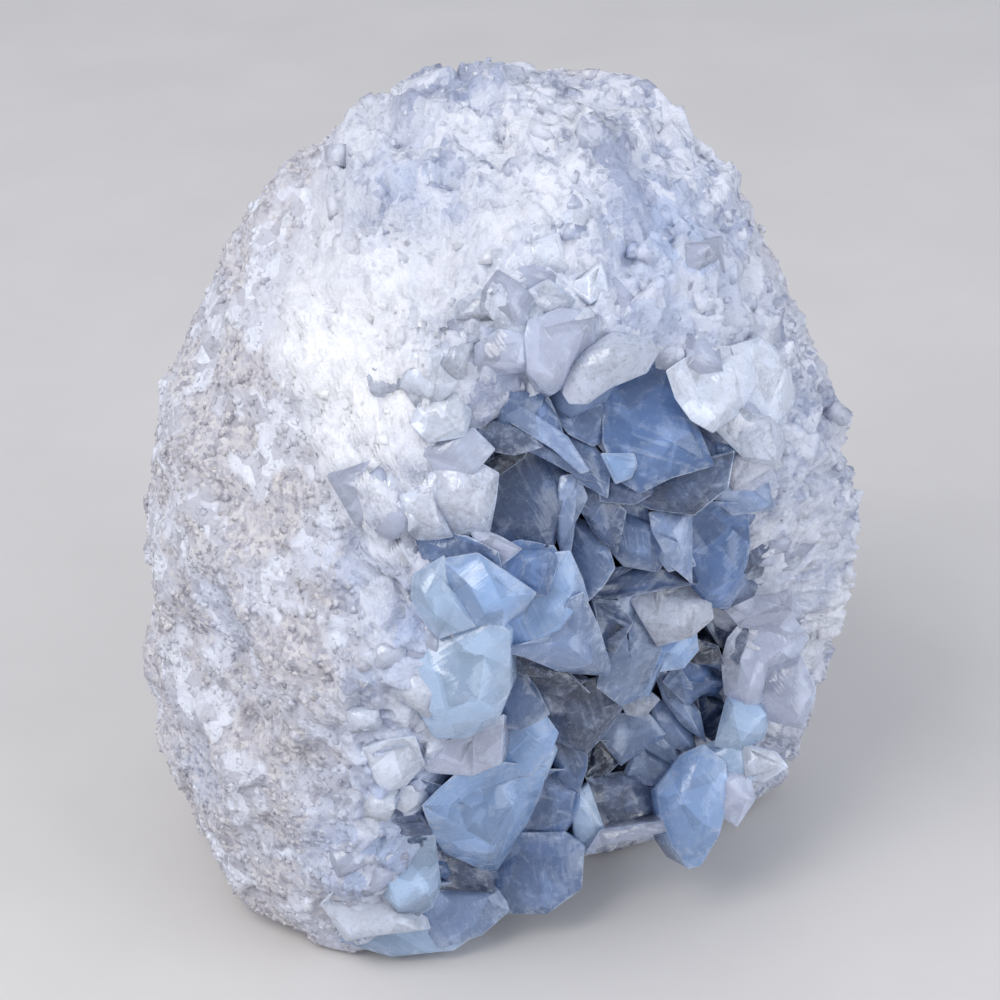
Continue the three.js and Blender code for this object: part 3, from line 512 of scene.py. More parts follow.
def sugar_share(direction):
    """How sugary the rind is in each direction: 1 near the mouth, and 0 past the zone's width."""
    away = np.degrees(np.arccos(np.clip(direction @ MOUTH, -1, 1)))
    round_ = np.arctan2(direction @ MOUTH_UP, direction @ MOUTH_RIGHT) % (2 * np.pi)
    ragged = sum(amount * facets(direction * HALF_WIDTH, cell, seed) for cell, amount, seed in SUGAR_RAGS)
    edge = periodic(RIM_ANGLES, round_) + periodic(SUGAR_WIDTHS, round_) + ragged
    share = np.clip((edge - away) / SUGAR_FADE + 0.5, 0, 1)
    return share * share * (3 - 2 * share)


@functools.lru_cache(maxsize=2)
def place_centres(kind):
    """The points of the egg's face at the places of a kind, with their reaches and amounts."""
    return [(behind_face(*place, 0), reach, amount) for place, reach, amount in PLACES[kind]]


def place_values(points):
    """How much whiter and bluer than usual the rind is, from -1 to 1: sums of bells round places."""
    values = {}
    for kind in PLACES:
        total = np.zeros(points.shape[:-1])
        for centre, reach, amount in place_centres(kind):
            total = total + amount * np.exp(-((points - centre) ** 2).sum(-1) / reach**2)
        values[kind] = np.clip(total, -1, 1)
    return values


def outer_radius(direction, fine=False):
    """Distance from the heart to the outer face: egg, break, lumps and flat base. The fine face
    adds tilted faces where the rind is sugary and small lumps where it is not."""
    cut = plane_radius(direction, BREAK, BREAK_DISTANCE - BREAK @ HEART)
    radius = rounded_min(egg_radius(direction), cut, BREAK_ROUNDING)
    point = HEART + direction * radius[..., None]
    for cell, height, seed in LUMPS:
        radius = radius + height * facets(point, cell, seed)
    if fine:
        sugar = sugar_share(direction)
        for cell, height, seed in SUGAR_FACES:
            radius = radius + sugar * height * facets(point, cell, seed, SUGAR_SHARPNESS)
        for cell, height, seed in SKIN_LUMPS:
            radius = radius + (1 - sugar) * height * facets(point, cell, seed, SKIN_SHARPNESS)
    return rounded_min(radius, plane_radius(direction, np.array([0, 0, -1]), HEART[2]), BASE_ROUNDING)


def spoke(round_, away):
    """Direction from the heart, at an angle round the mouth's axis and an angle away from it."""
    round_, away = round_[..., None], away[..., None]
    level = np.cos(round_) * MOUTH_RIGHT + np.sin(round_) * MOUTH_UP
    return np.cos(away) * MOUTH + np.sin(away) * level


def outer_point(round_, away, lip=0, fine=False):
    """A point on the outer face, or on the lip where the share of the lip is above zero."""
    direction = spoke(round_, away - math.radians(LIP_ANGLE) * lip)
    radius = outer_radius(direction, fine) * (1 - LIP_DROP * lip**2)
    return HEART + direction * radius[..., None]


def rim_angle(round_):
    """Angle between the mouth's direction and its rim, at an angle round it."""
    return np.radians(periodic(RIM_ANGLES, round_))


def wall_point(round_, depth, fine=False):
    """A point on the wall of the hollow: a quarter turn of an ellipse, from the lip at depth 0
    to the deepest point at depth 1."""
    angle = np.asarray(depth)[..., None] * np.pi / 2
    lip = outer_point(round_, rim_angle(round_), 1, fine)
    return lip * np.cos(angle) + MOUTH_MIDDLE * (1 - np.cos(angle)) - MOUTH * HOLLOW_DEPTH * np.sin(angle)


def off_wall(point):
    """The way out of the hollow's wall at a point, towards the middle of the hollow."""
    return unit(MOUTH_MIDDLE - MOUTH * HOLLOW_DEPTH / 4 - point)


def sight_point(across, up, inward):
    """A point from millimetres across and up as seen, at a distance in from the sight centre."""
    scale = 1 + inward / SIGHT_DISTANCE
    seen = np.multiply.outer(across * scale, SIGHT_RIGHT) + np.multiply.outer(up * scale, SIGHT_UP)
    return SIGHT_CENTRE + seen + np.multiply.outer(inward, SIGHT_IN)


def as_seen(points):
    """How far across, up and in the points lie as seen from the front, as sight_point takes them."""
    from_centre = points - SIGHT_CENTRE
    inward = from_centre @ SIGHT_IN
    widening = SIGHT_DISTANCE / (SIGHT_DISTANCE + inward)
    return from_centre @ SIGHT_RIGHT * widening, from_centre @ SIGHT_UP * widening, inward


def behind_face(across, up, back):
    """The point seen across and up that lies a distance back from the first point of that line
    of sight inside the egg, or from the middle plane where it misses the egg."""
    inward = np.arange(-HEIGHT, 0.5, 0.5)
    from_heart = sight_point(across, up, inward) - HEART
    distance = np.linalg.norm(from_heart, axis=-1)
    inside = distance <= outer_radius(from_heart / distance[:, None])
    first = inward[np.argmax(inside)] if inside.any() else 0.0
    return sight_point(across, up, first + back)


@functools.lru_cache(maxsize=1)
def wall_as_seen():
    """Points over the wall of the hollow, with their places as seen from the front."""
    round_ = np.arange(WALL_SPOKES) / WALL_SPOKES * 2 * np.pi
    depth = np.arange(1, WALL_STEPS) / WALL_STEPS
    points = wall_point(*np.meshgrid(round_, depth, indexing="ij")).reshape(-1, 3)
    return points, *as_seen(points)[:2]


def on_wall(across, up):
    """The wall point that is seen nearest to a place."""
    points, seen_across, seen_up = wall_as_seen()
    return points[np.argmin(np.hypot(seen_across - across, seen_up - up))]


@functools.lru_cache(maxsize=1)
def rind_grid():
    """The rind as rings of points: the outer face from the back to the rim, the lip, and the wall
    of the hollow. Gives the points, their outward normals, evened out with those of their
    neighbours, and their sugary shares."""
    round_ = np.arange(COLUMNS) / COLUMNS * 2 * np.pi
    rim = rim_angle(round_)
    edge = rim + np.radians(np.maximum(periodic(SUGAR_WIDTHS, round_) + SUGAR_FADE, FINE_WIDTH))
    back = np.arange(1, BACK_ROWS + 1)[:, None] / BACK_ROWS
    front = np.arange(1, SUGAR_ROWS + 1)[:, None] / SUGAR_ROWS
    away = np.concatenate([np.pi + (edge - np.pi) * back, edge + (rim - edge) * front])
    lip = np.arange(1, LIP_ROWS + 1)[:, None] / LIP_ROWS
    depth = np.arange(1, WALL_ROWS)[:, None] / WALL_ROWS
    rings = np.concatenate([
        outer_point(round_ + 0 * away, away, fine=True),
        outer_point(round_ + 0 * lip, rim + 0 * lip, lip, fine=True),
        wall_point(round_ + 0 * depth, depth + 0 * round_, fine=True),
    ])
    along = np.roll(rings, -1, axis=1) - np.roll(rings, 1, axis=1)
    down = np.gradient(rings, axis=0)
    normals = unit(np.cross(along, down) + 1e-9)
    for _ in range(NORMAL_ROUNDS):
        normals = normals + np.roll(normals, 1, axis=1) + np.roll(normals, -1, axis=1)
        normals[1:-1] = normals[:-2] + normals[1:-1] + normals[2:]
        normals = unit(normals)
    sugar = sugar_share(unit(rings - HEART))
    sugar[OUTER_ROWS:] = 1
    return rings, normals, sugar


def strip_faces(rows, columns):
    """Triangles between rings of points that are numbered ring by ring, closed on themselves."""
    row, column = np.meshgrid(np.arange(rows - 1), np.arange(columns), indexing="ij")
    a = row * columns + column
    b = row * columns + (column + 1) % columns
    c, d = b + columns, a + columns
    return np.stack([a, b, c, a, c, d], axis=-1).reshape(-1, 3)


def fan_faces(middle, first, columns, outward=True):
    """Triangles between one point and a ring of points."""
    column = np.arange(columns)
    a, b = first + column, first + (column + 1) % columns
    faces = np.stack([np.full(columns, middle), b, a], axis=-1)
    return faces if outward else faces[:, ::-1]


def outward(points, faces):
    """The triangles, turned round if the closed surface's volume comes out below zero."""
    a, b, c = (points[faces[:, n]] for n in range(3))
    volume = (a * np.cross(b, c)).sum()
    return faces[:, ::-1] if volume < 0 else faces


# The values that belong to faces, and what a mesh calls values of one, three and four numbers

FACE_VALUES = ("wide_tone", "small_tone", "edge", "shade")
VALUE_KINDS = {
    (): ("FLOAT", "value"),
    (3,): ("FLOAT_VECTOR", "vector"),
    (4,): ("FLOAT_COLOR", "color"),
}


def make_piece(name, points, faces, material, slot, replaced=(), **attributes):
    """A piece on the root body, from points in millimetres, triangles, and values at its points and
    faces. Points below the floor are moved up to it."""
    points = points.copy()
    points[:, 2] = np.maximum(points[:, 2], 0)
    mesh = bpy.data.meshes.new(name)
    mesh.vertices.add(len(points))
    mesh.vertices.foreach_set("co", (points * MM).astype(np.float32).ravel())
    mesh.loops.add(faces.size)
    mesh.loops.foreach_set("vertex_index", faces.astype(np.int32).ravel())
    mesh.polygons.add(len(faces))
    mesh.polygons.foreach_set("loop_start", np.arange(0, faces.size, 3, dtype=np.int32))
    mesh.update(calc_edges=True)
    for label, values in attributes.items():
        kind, field = VALUE_KINDS[values.shape[1:]]
        domain = "FACE" if label in FACE_VALUES else "POINT"
        held = mesh.attributes.new(label, kind, domain).data
        held.foreach_set(field, values.astype(np.float32).ravel())
    mesh.materials.append(material)
    piece = bpy.data.objects.new(name, mesh)
    bpy.context.scene.collection.objects.link(piece)
    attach(piece, "root")
    if replaced:
        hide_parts(*replaced)
    return piece


def turned_frames(axis, lean, rng):
    """Three square directions for each axis, the third one leaning from it by a random angle."""
    third = unit(axis + lean * rng.normal(size=axis.shape))
    first = unit(np.cross(third, rng.normal(size=axis.shape)))
    return first, np.cross(third, first), third


# A grain: the corners and triangles of a block, the shares of its sides and the shift of its corners

GRAIN_CORNERS = np.array([[x, y, z] for z in (-1, 1) for x, y in ((-1, -1), (1, -1), (1, 1), (-1, 1))])
GRAIN_FACES = np.array([
    [0, 2, 1], [0, 3, 2], [4, 5, 6], [4, 6, 7], [0, 1, 5], [0, 5, 4],
    [1, 2, 6], [1, 6, 5], [2, 3, 7], [2, 7, 6], [3, 0, 4], [3, 4, 7],
])
GRAIN_SIDES = (0.55, 1.0)
GRAIN_SHIFT = 0.3


def grains(place, normal, size, rise, rng, lean):
    """Small blocks that are sunk but for a rise: their half sides are the size times random shares,
    they are turned from the normal by a random lean, and each corner is shifted at random."""
    count = len(place)
    axes = np.stack(turned_frames(normal, lean, rng), axis=1)
    half = size[:, None] * rng.uniform(*GRAIN_SIDES, (count, 3))
    local = GRAIN_CORNERS + rng.uniform(-GRAIN_SHIFT, GRAIN_SHIFT, (count, 8, 3))
    middle = place + normal * (rise - half[:, 2])[:, None]
    points = middle[:, None] + np.einsum("nvk,nkc->nvc", local * half[:, None], axes)
    faces = GRAIN_FACES[None] + 8 * np.arange(count)[:, None, None]
    return points.reshape(-1, 3), faces.reshape(-1, 3)


def scatter(count, density, rng, lowest=1.5):
    """Random places on the rind's grid, drawn in proportion to the area of each cell times its
    density: the places, their normals and the numbers of their grid points."""
    rings, normals, _ = rind_grid()
    along = np.roll(rings, -1, axis=1) - rings
    down = np.gradient(rings, axis=0)
    area = np.linalg.norm(np.cross(along, down), axis=-1)
    weight = (area * density * (rings[..., 2] > lowest)).ravel()
    picked = rng.choice(weight.size, count, p=weight / weight.sum())
    share = rng.uniform(-0.5, 0.5, (2, count, 1))
    place = rings.reshape(-1, 3)[picked]
    place = place + share[0] * along.reshape(-1, 3)[picked] + share[1] * down.reshape(-1, 3)[picked]
    return place, normals.reshape(-1, 3)[picked], picked


def crystal_points(foot, tip, wide, thick, turn, ends, cut, skew, seeds):
    """Crystals as profiles carried along their axes. A profile has four sides and four cut corners:
    in each direction its radius is the smallest distance to a side over the cosine between them.
    Its middle is shifted from the axis by the skew, in shares of its half width and half thickness.
    The end is a cone to the tip that falls, in each direction, with the steepest of four slopes.
    The directions are the profile's corners and the creases of the end. Gives points, triangles,
    each point's place in its crystal and the number of points of a crystal."""
    count = len(foot)
    axis = unit(tip - foot)
    length = np.linalg.norm(tip - foot, axis=-1)
    front = -SIGHT_IN + (axis @ SIGHT_IN)[:, None] * axis
    upright = SIGHT_UP - (axis @ SIGHT_UP)[:, None] * axis
    end_on = np.linalg.norm(front, axis=-1, keepdims=True) < END_ON
    front = unit(np.where(end_on, upright, front))
    turn = np.radians(turn)[:, None]
    front = front * np.cos(turn) + np.cross(axis, front) * np.sin(turn)
    side = np.cross(front, axis)

    def draws(number, use):
        return np.stack([fraction(seeds, n, use, CRYSTAL_SEED) * 2 - 1 for n in range(number)], axis=-1)

    corner_angle = np.arctan2(wide, thick)
    corner_reach = wide * thick / np.hypot(wide, thick) * cut
    quarter = np.pi / 2
    zero = 0 * wide
    angles = np.stack([zero, corner_angle, zero + quarter, np.pi - corner_angle, zero + np.pi,
                       np.pi + corner_angle, zero + 3 * quarter, 2 * np.pi - corner_angle], axis=-1)
    limits = np.stack([wide / 2, corner_reach, thick / 2, corner_reach] * 2, axis=-1)
    wander = draws(8, 1)
    limits = limits * (1 + SIDE_WANDER * draws(8, 4))
    angles = angles + np.radians(WANDER) * wander
    limits = limits + skew[:, :1] * wide[:, None] / 2 * np.cos(angles)
    limits = limits + skew[:, 1:] * thick[:, None] / 2 * np.sin(angles)

    next_angles = np.roll(angles, -1, axis=1)
    next_limits = np.roll(limits, -1, axis=1)
    corners = np.arctan2(next_limits * np.cos(angles) - limits * np.cos(next_angles),
                         limits * np.sin(next_angles) - next_limits * np.sin(angles))
    slopes = np.tan(np.radians(ends[:, [1, 3, 0, 2]] + WANDER * wander[:, :4]))
    ways = quarter * np.arange(4)
    creases = ways + np.arctan2(np.roll(slopes, -1, axis=1), slopes)
    directions = np.sort(np.concatenate([corners, creases], axis=1) % (2 * np.pi), axis=1)

    facing_side = np.cos(directions[:, :, None] - angles[:, None, :])
    reach = limits[:, None, :] / np.maximum(facing_side, LEAST_FACING)
    radius = np.where(facing_side > LEAST_FACING, reach, FAR).min(-1)
    fall = (slopes[:, None, :] * np.cos(directions[:, :, None] - ways)).max(-1)
    shoulder = -radius * fall
    bottom = -np.maximum(length[:, None], -shoulder.min(1, keepdims=True) + 1) + 0 * radius
    ring = [radius * np.cos(directions), radius * np.sin(directions)]
    ends_local = np.zeros((count, 2, 3))
    ends_local[:, 0, 2] = bottom[:, 0]
    local = np.concatenate([np.stack([*ring, bottom], axis=-1), np.stack([*ring, shoulder], axis=-1),
                            ends_local], axis=1)
    axes = np.stack([side, front, axis], axis=1)
    points = tip[:, None] + np.einsum("nvk,nkc->nvc", local, axes)

    number, columns = local.shape[1], directions.shape[1]
    faces = np.concatenate([
        strip_faces(2, columns),
        fan_faces(number - 2, 0, columns),
        fan_faces(number - 1, columns, columns, outward=False),
    ])
    faces = faces[None] + number * np.arange(count)[:, None, None]
    return points.reshape(-1, 3), faces.reshape(-1, 3), local.reshape(-1, 3), number


def front_depths(outline, back, peak):
    """How far in from the sight centre the corners and the peak of a front lie. Near the face of the
    egg the front follows it, and deeper fronts are more and more flat to the sight."""
    places = [*outline, peak[:2]]
    face = np.array([(behind_face(a, u, 0) - SIGHT_CENTRE) @ SIGHT_IN for a, u in places])
    follow = np.clip(1 - back / FLAT_BACK, LEAST_FOLLOW, 1)
    depths = back + follow * face + (1 - follow) * face[-1]
    return depths[:-1], depths[-1] - peak[2]


def behind_fronts(points, gap):
    """Whether each point lies at least a gap behind the front of every crystal that covers it."""
    across, up, inward = as_seen(points)
    behind = np.ones(len(points), bool)
    for outline, back, peak, _ in CRYSTALS:
        a = np.array(outline, float)
        b = np.roll(a, -1, axis=0)
        depths, _ = front_depths(a, back, peak)
        above = (a[:, 1] > up[:, None]) != (b[:, 1] > up[:, None])
        rise = np.where(b[:, 1] == a[:, 1], 1, b[:, 1] - a[:, 1])
        crossing = a[:, 0] + (up[:, None] - a[:, 1]) * (b[:, 0] - a[:, 0]) / rise
        inside = (above & (crossing > across[:, None])).sum(1) % 2 == 1
        behind &= ~inside | (inward > depths.max() + gap)
    return behind


def folded(outer, inner):
    """Whether any face between two rings of points, seen from the front, is turned over."""
    a, b, c, d = outer, np.roll(outer, -1, axis=0), np.roll(inner, -1, axis=0), inner
    areas = np.concatenate([np.cross(b - a, c - a), np.cross(c - a, d - a)]) @ SIGHT_IN
    return areas.min() < -LEAST_AREA and areas.max() > LEAST_AREA


def top_face(rim, worn, top, height, draw):
    """The ring of a crystal's flat top face, and the number of its corner that each point belongs
    to. It has a corner for every two of the outline, moved from the top towards the rim, and is
    square to the sight but for a small tilt. It shrinks until no face round it is turned over."""
    columns = len(rim)
    corner = (np.arange(columns) + int(draw[0] * 4)) // 4 * 4
    corner = np.where(corner < columns, corner, 0)
    way = rim[corner] + (rim - rim[corner]) * TOP_CORNER - top
    way = way - (way @ SIGHT_IN)[:, None] * SIGHT_IN
    tilt = way @ (SIGHT_RIGHT * (draw[1] - 0.5) + SIGHT_UP * (draw[2] - 0.5)) * TOP_TILT
    for shrink in TOP_SHRINKS:
        face = top + height * shrink * (way + tilt[:, None] * SIGHT_IN)
        if not folded(worn, face):
            break
    return face, corner // 4


def front_crystal(outline, back, peak, bevel, draw):
    """A crystal as a profile carried from its front to its foot. The profile is the outline, with
    each corner doubled to a narrow face. From the foot the rings are: the shrunk outline at the
    foot, which lies on the wall of the hollow, or about the crystal's own size behind its front; the
    outline moved back by the bevel; the outline moved in by it; and the flat top face round the
    peak. Gives points, triangles, the values that the material reads, and each face's number."""
    outline = np.array(outline, float)
    x, y = outline.T
    area = (x * np.roll(y, -1) - y * np.roll(x, -1)).sum() / 2
    outline = outline[::-1] if area < 0 else outline
    middle = outline.mean(0)
    outline = middle + (outline - middle) * OVERLAP
    on_lip = back <= LIP_BACK
    depths, peak_depth = front_depths(outline, back - LIP_RAISE if on_lip else back, peak)
    depths = depths + (outline - middle) @ (draw[:2] - 0.5) * FRONT_LEAN
    corners = np.array([sight_point(a, u, d) for (a, u), d in zip(outline, depths)])
    top = sight_point(peak[0], peak[1], peak_depth)

    before = unit(np.roll(corners, 1, axis=0) - corners)
    after = unit(np.roll(corners, -1, axis=0) - corners)
    rim = np.stack([corners + before * bevel, corners + after * bevel], axis=1).reshape(-1, 3)
    size = math.sqrt(abs(area))
    centre = corners.mean(0)
    wall_depth = (on_wall(*middle) - centre) @ SIGHT_IN
    length = size if on_lip else max(size, wall_depth + WALL_BITE)
    shift = SIGHT_RIGHT * (draw[2] - 0.5) + SIGHT_UP * (draw[3] - 0.5)
    foot = centre + SIGHT_IN * length + shift * size * FOOT_SHIFT
    inset = np.clip(bevel / np.linalg.norm(top - rim, axis=1, keepdims=True), 0, MOST_INSET)
    worn = rim + (top - rim) * inset
    share = np.clip(TOP_SHARES[1] - TOP_FALL * peak[2] + TOP_CHANCE * (draw[5] - 0.5), *TOP_SHARES)
    face, slope = top_face(rim, worn, top, share, draw[6:])

    columns = len(rim)
    rings = [foot + (rim - centre) * FOOT_SHRINK, rim + SIGHT_IN * bevel, worn, face]
    points = np.concatenate([*rings, [foot, face.mean(0)]])
    faces = np.concatenate([
        strip_faces(4, columns),
        fan_faces(4 * columns, 0, columns),
        fan_faces(4 * columns + 1, 3 * columns, columns, outward=False),
    ])
    one = np.ones(columns, int)
    column = np.arange(columns)
    number = np.concatenate([
        np.repeat(column // 2, 2), np.repeat(one * RIM_FACE, 2), np.repeat(slope + FIRST_SLOPE, 2),
        one * FOOT_FACE, one * TOP_FACE,
    ])
    # Faces of the bevel along the rim and at the corners; the material paints them paler, partly as wear and
    # partly as a painted highlight
    edge = number == RIM_FACE
    edge[:2 * columns] = np.repeat(column % 2 == 0, 2)
    turn = draw[4] * 2 * np.pi
    from_centre = points - centre
    across, up = from_centre @ SIGHT_RIGHT, from_centre @ SIGHT_UP
    values = {
        "grown": np.stack([across * math.cos(turn) + up * math.sin(turn), from_centre @ SIGHT_IN,
                           up * math.cos(turn) - across * math.sin(turn)], axis=-1),
        "frost": np.concatenate([one * FOOT_FROST, one, one, 0 * one, [0, 0]]),
        "edge": edge,
    }
    return points, faces, values, number


def linear(colour):
    """A colour from sRGB, 0 to 255, to linear light."""
    share = np.asarray(colour) / 255
    return np.where(share <= 0.04045, share / 12.92, ((share + 0.055) / 1.055) ** 2.4)


# Materials


def node(tree, kind, inputs=(), **settings):
    """A new node: its settings, and its inputs by name or number, as values or other outputs."""
    made = tree.nodes.new(kind)
    for name, value in settings.items():
        setattr(made, name, value)
    for name, value in dict(inputs).items():
        if isinstance(value, bpy.types.NodeSocket):
            tree.links.new(value, made.inputs[name])
        else:
            made.inputs[name].default_value = value
    return made


def noise(tree, where, size, detail=3.0, distortion=0.0, roughness=0.55):
    """Smooth noise from 0 to 1, with features of about a size in metres."""
    values = {"Vector": where, "Scale": 1 / size, "Detail": detail, "Distortion": distortion,
              "Roughness": roughness}
    return node(tree, "ShaderNodeTexNoise", values).outputs["Fac"]


def between(tree, value, low, high, to_low=0.0, to_high=1.0):
    """A value carried smoothly from one range to another and held at its ends."""
    inputs = {"Value": value, "From Min": low, "From Max": high, "To Min": to_low, "To Max": to_high}
    return node(tree, "ShaderNodeMapRange", inputs, interpolation_type="SMOOTHSTEP").outputs["Result"]


def maths(tree, operation, a, b):
    """The sum, product or other result of two values."""
    return node(tree, "ShaderNodeMath", {0: a, 1: b}, operation=operation).outputs[0]


def times(tree, a, b):
    """The product of two values."""
    return maths(tree, "MULTIPLY", a, b)


def plus(tree, a, b):
    """The sum of two values."""
    return maths(tree, "ADD", a, b)


def vector_maths(tree, operation, a, b):
    """A new vector from a vector and another one."""
    return node(tree, "ShaderNodeVectorMath", {0: a, 1: b}, operation=operation).outputs[0]


def mixed(tree, share, a, b, blend="MIX"):
    """A colour between two colours, each given as an output or as three numbers."""
    a, b = (c if isinstance(c, bpy.types.NodeSocket) else (*c, 1) for c in (a, b))
    inputs = {0: share, 6: a, 7: b}
    return node(tree, "ShaderNodeMix", inputs, data_type="RGBA", blend_type=blend).outputs[2]


def attribute(tree, name, output="Fac"):
    """A value that the mesh holds at its points or faces."""
    return node(tree, "ShaderNodeAttribute", attribute_name=name).outputs[output]


def new_material(name):
    """A material with an empty node tree, its Principled shader and the object's coordinates."""
    material = bpy.data.materials.new(name)
    material.use_nodes = True
    tree = material.node_tree
    tree.nodes.clear()
    shader = node(tree, "ShaderNodeBsdfPrincipled")
    result = node(tree, "ShaderNodeOutputMaterial", {"Surface": shader.outputs[0]})
    where = node(tree, "ShaderNodeTexCoord").outputs["Object"]
    return material, tree, shader, result, where


def cells(tree, where, size, shift):
    """Cells of space of about a size in metres, each with a random colour: those colours."""
    moved = vector_maths(tree, "ADD", where, (shift, 2 * shift, -shift))
    return node(tree, "ShaderNodeTexVoronoi", {"Vector": moved, "Scale": 1 / size}).outputs["Color"]


def tilted(tree, normal, colours, amount):
    """The normal leant by each cell's random colour, which gives every cell a flat face."""
    way = vector_maths(tree, "SUBTRACT", colours, (0.5, 0.5, 0.5))
    way = node(tree, "ShaderNodeVectorMath", {0: way, "Scale": amount}, operation="SCALE").outputs[0]
    total = vector_maths(tree, "ADD", normal, way)
    return node(tree, "ShaderNodeVectorMath", {0: total}, operation="NORMALIZE").outputs[0]


def channel(tree, colours, number):
    """One random number of a cell, from the channels of its colour."""
    return node(tree, "ShaderNodeSeparateColor", {0: colours}).outputs[number]


def streaks(tree, grown, scale, detail):
    """Noise drawn out along a crystal's growth: its scale along the three directions, per millimetre."""
    stretched = node(tree, "ShaderNodeMapping", {"Vector": grown, "Scale": scale}).outputs[0]
    values = {"Vector": stretched, "Scale": 1.0, "Detail": detail}
    return node(tree, "ShaderNodeTexNoise", values).outputs["Fac"]


def bump(tree, height, strength, distance, normal):
    """The normal of a surface with small heights on it."""
    values = {"Height": height, "Strength": strength, "Distance": distance, "Normal": normal}
    return node(tree, "ShaderNodeBump", values).outputs[0]


# Optics, and the sizes in metres of the cells and of the noise in the stone and in the crystals

CELESTITE_IOR = 1.62
WIDE_CELL, SMALL_CELL, SAND_CELL = 0.0060, 0.0028, 0.0010
SPECK, PATCH, CLOUD, FINE_GRAIN = 0.0016, 0.011, 0.028, 0.0008
BROAD_FACET, FINE_FACET = 0.0075, 0.0026
VEIL, WISP, FLAW_PATCH, FROSTING, WEAR_AND_HIGHLIGHT, GRIT, RIPPLE = 0.0065, 0.0022, 0.007, 0.0021, 0.003, 0.0009, 0.0016


def stone_material(name, look, grain_bump):
    """Granular celestite and marl: sandy grey skin with dark grains and patches of small pale
    crystals, which turns into a white sugary mass where the mesh's sugar value is high. Cells of
    three sizes give each little crystal its own tilt and its own share of grey."""
    material, tree, shader, _, where = new_material(name)
    sugar = attribute(tree, "sugar")
    bright = attribute(tree, "white")
    small_tone = attribute(tree, "small_tone")
    wide_cells = cells(tree, where, WIDE_CELL, 0.3)
    small_cells = cells(tree, where, SMALL_CELL, 0.7)
    sand_cells = cells(tree, where, SAND_CELL, 0.5)

    specks = between(tree, noise(tree, where, SPECK), 0.52, 0.68, 0, 0.6)
    dark_sand = between(tree, channel(tree, sand_cells, 1), 0.8, 0.9, 0, 0.5)
    sand = mixed(tree, channel(tree, sand_cells, 0), look.skin_beige, look.skin_grey)
    sand = mixed(tree, specks, sand, look.skin_speck)
    sand = mixed(tree, dark_sand, sand, look.skin_speck)
    pale = mixed(tree, channel(tree, small_cells, 1), look.skin_grey, look.skin_pale)
    patches = plus(tree, noise(tree, where, PATCH), times(tree, bright, 0.12))
    skin = mixed(tree, between(tree, patches, 0.46, 0.57), sand, pale)

    clouds = noise(tree, where, CLOUD)
    fine_tone = times(tree, channel(tree, small_cells, 0), channel(tree, sand_cells, 1))
    greyness = plus(tree, between(tree, attribute(tree, "wide_tone"), 0.35, 1, 0, 0.5),
                    between(tree, small_tone, 0.3, 1, 0, 0.45))
    greyness = plus(tree, greyness, between(tree, fine_tone, 0.2, 0.7, 0, 0.5))
    greyness = times(tree, greyness, between(tree, clouds, 0.35, 0.62, 0.25, 1.15))
    greyness = times(tree, greyness, between(tree, bright, -1, 1, 1.9, 0.3))
    white = mixed(tree, bright, look.sugar_grey, look.sugar_white)
    white = mixed(tree, greyness, white, look.sugar_shade)
    blueness = times(tree, attribute(tree, "blue"), between(tree, small_tone, 0, 0.8, 0.3, 1))
    colour = mixed(tree, blueness, mixed(tree, sugar, skin, white), look.blue)
    tree.links.new(colour, shader.inputs["Base Color"])
    tree.links.new(between(tree, sugar, 0, 1, 0.75, 0.38), shader.inputs["Roughness"])
    shader.inputs["IOR"].default_value = CELESTITE_IOR
    shader.inputs["Subsurface Weight"].default_value = look.glow
    shader.inputs["Subsurface Radius"].default_value = (1.0, 1.0, 1.2)
    shader.inputs["Subsurface Scale"].default_value = look.glow_depth

    normal = node(tree, "ShaderNodeNewGeometry").outputs["Normal"]
    for colours, skin_tilt, sugar_tilt in [
        (wide_cells, 0.2, 0.12), (small_cells, 0.3, 0.34), (sand_cells, 0.5, 0.34),
    ]:
        normal = tilted(tree, normal, colours, between(tree, sugar, 0, 1, skin_tilt, sugar_tilt))
    grain = noise(tree, where, FINE_GRAIN, detail=4, roughness=0.65)
    tree.links.new(bump(tree, grain, grain_bump, 0.0004, normal), shader.inputs["Normal"])
    return material


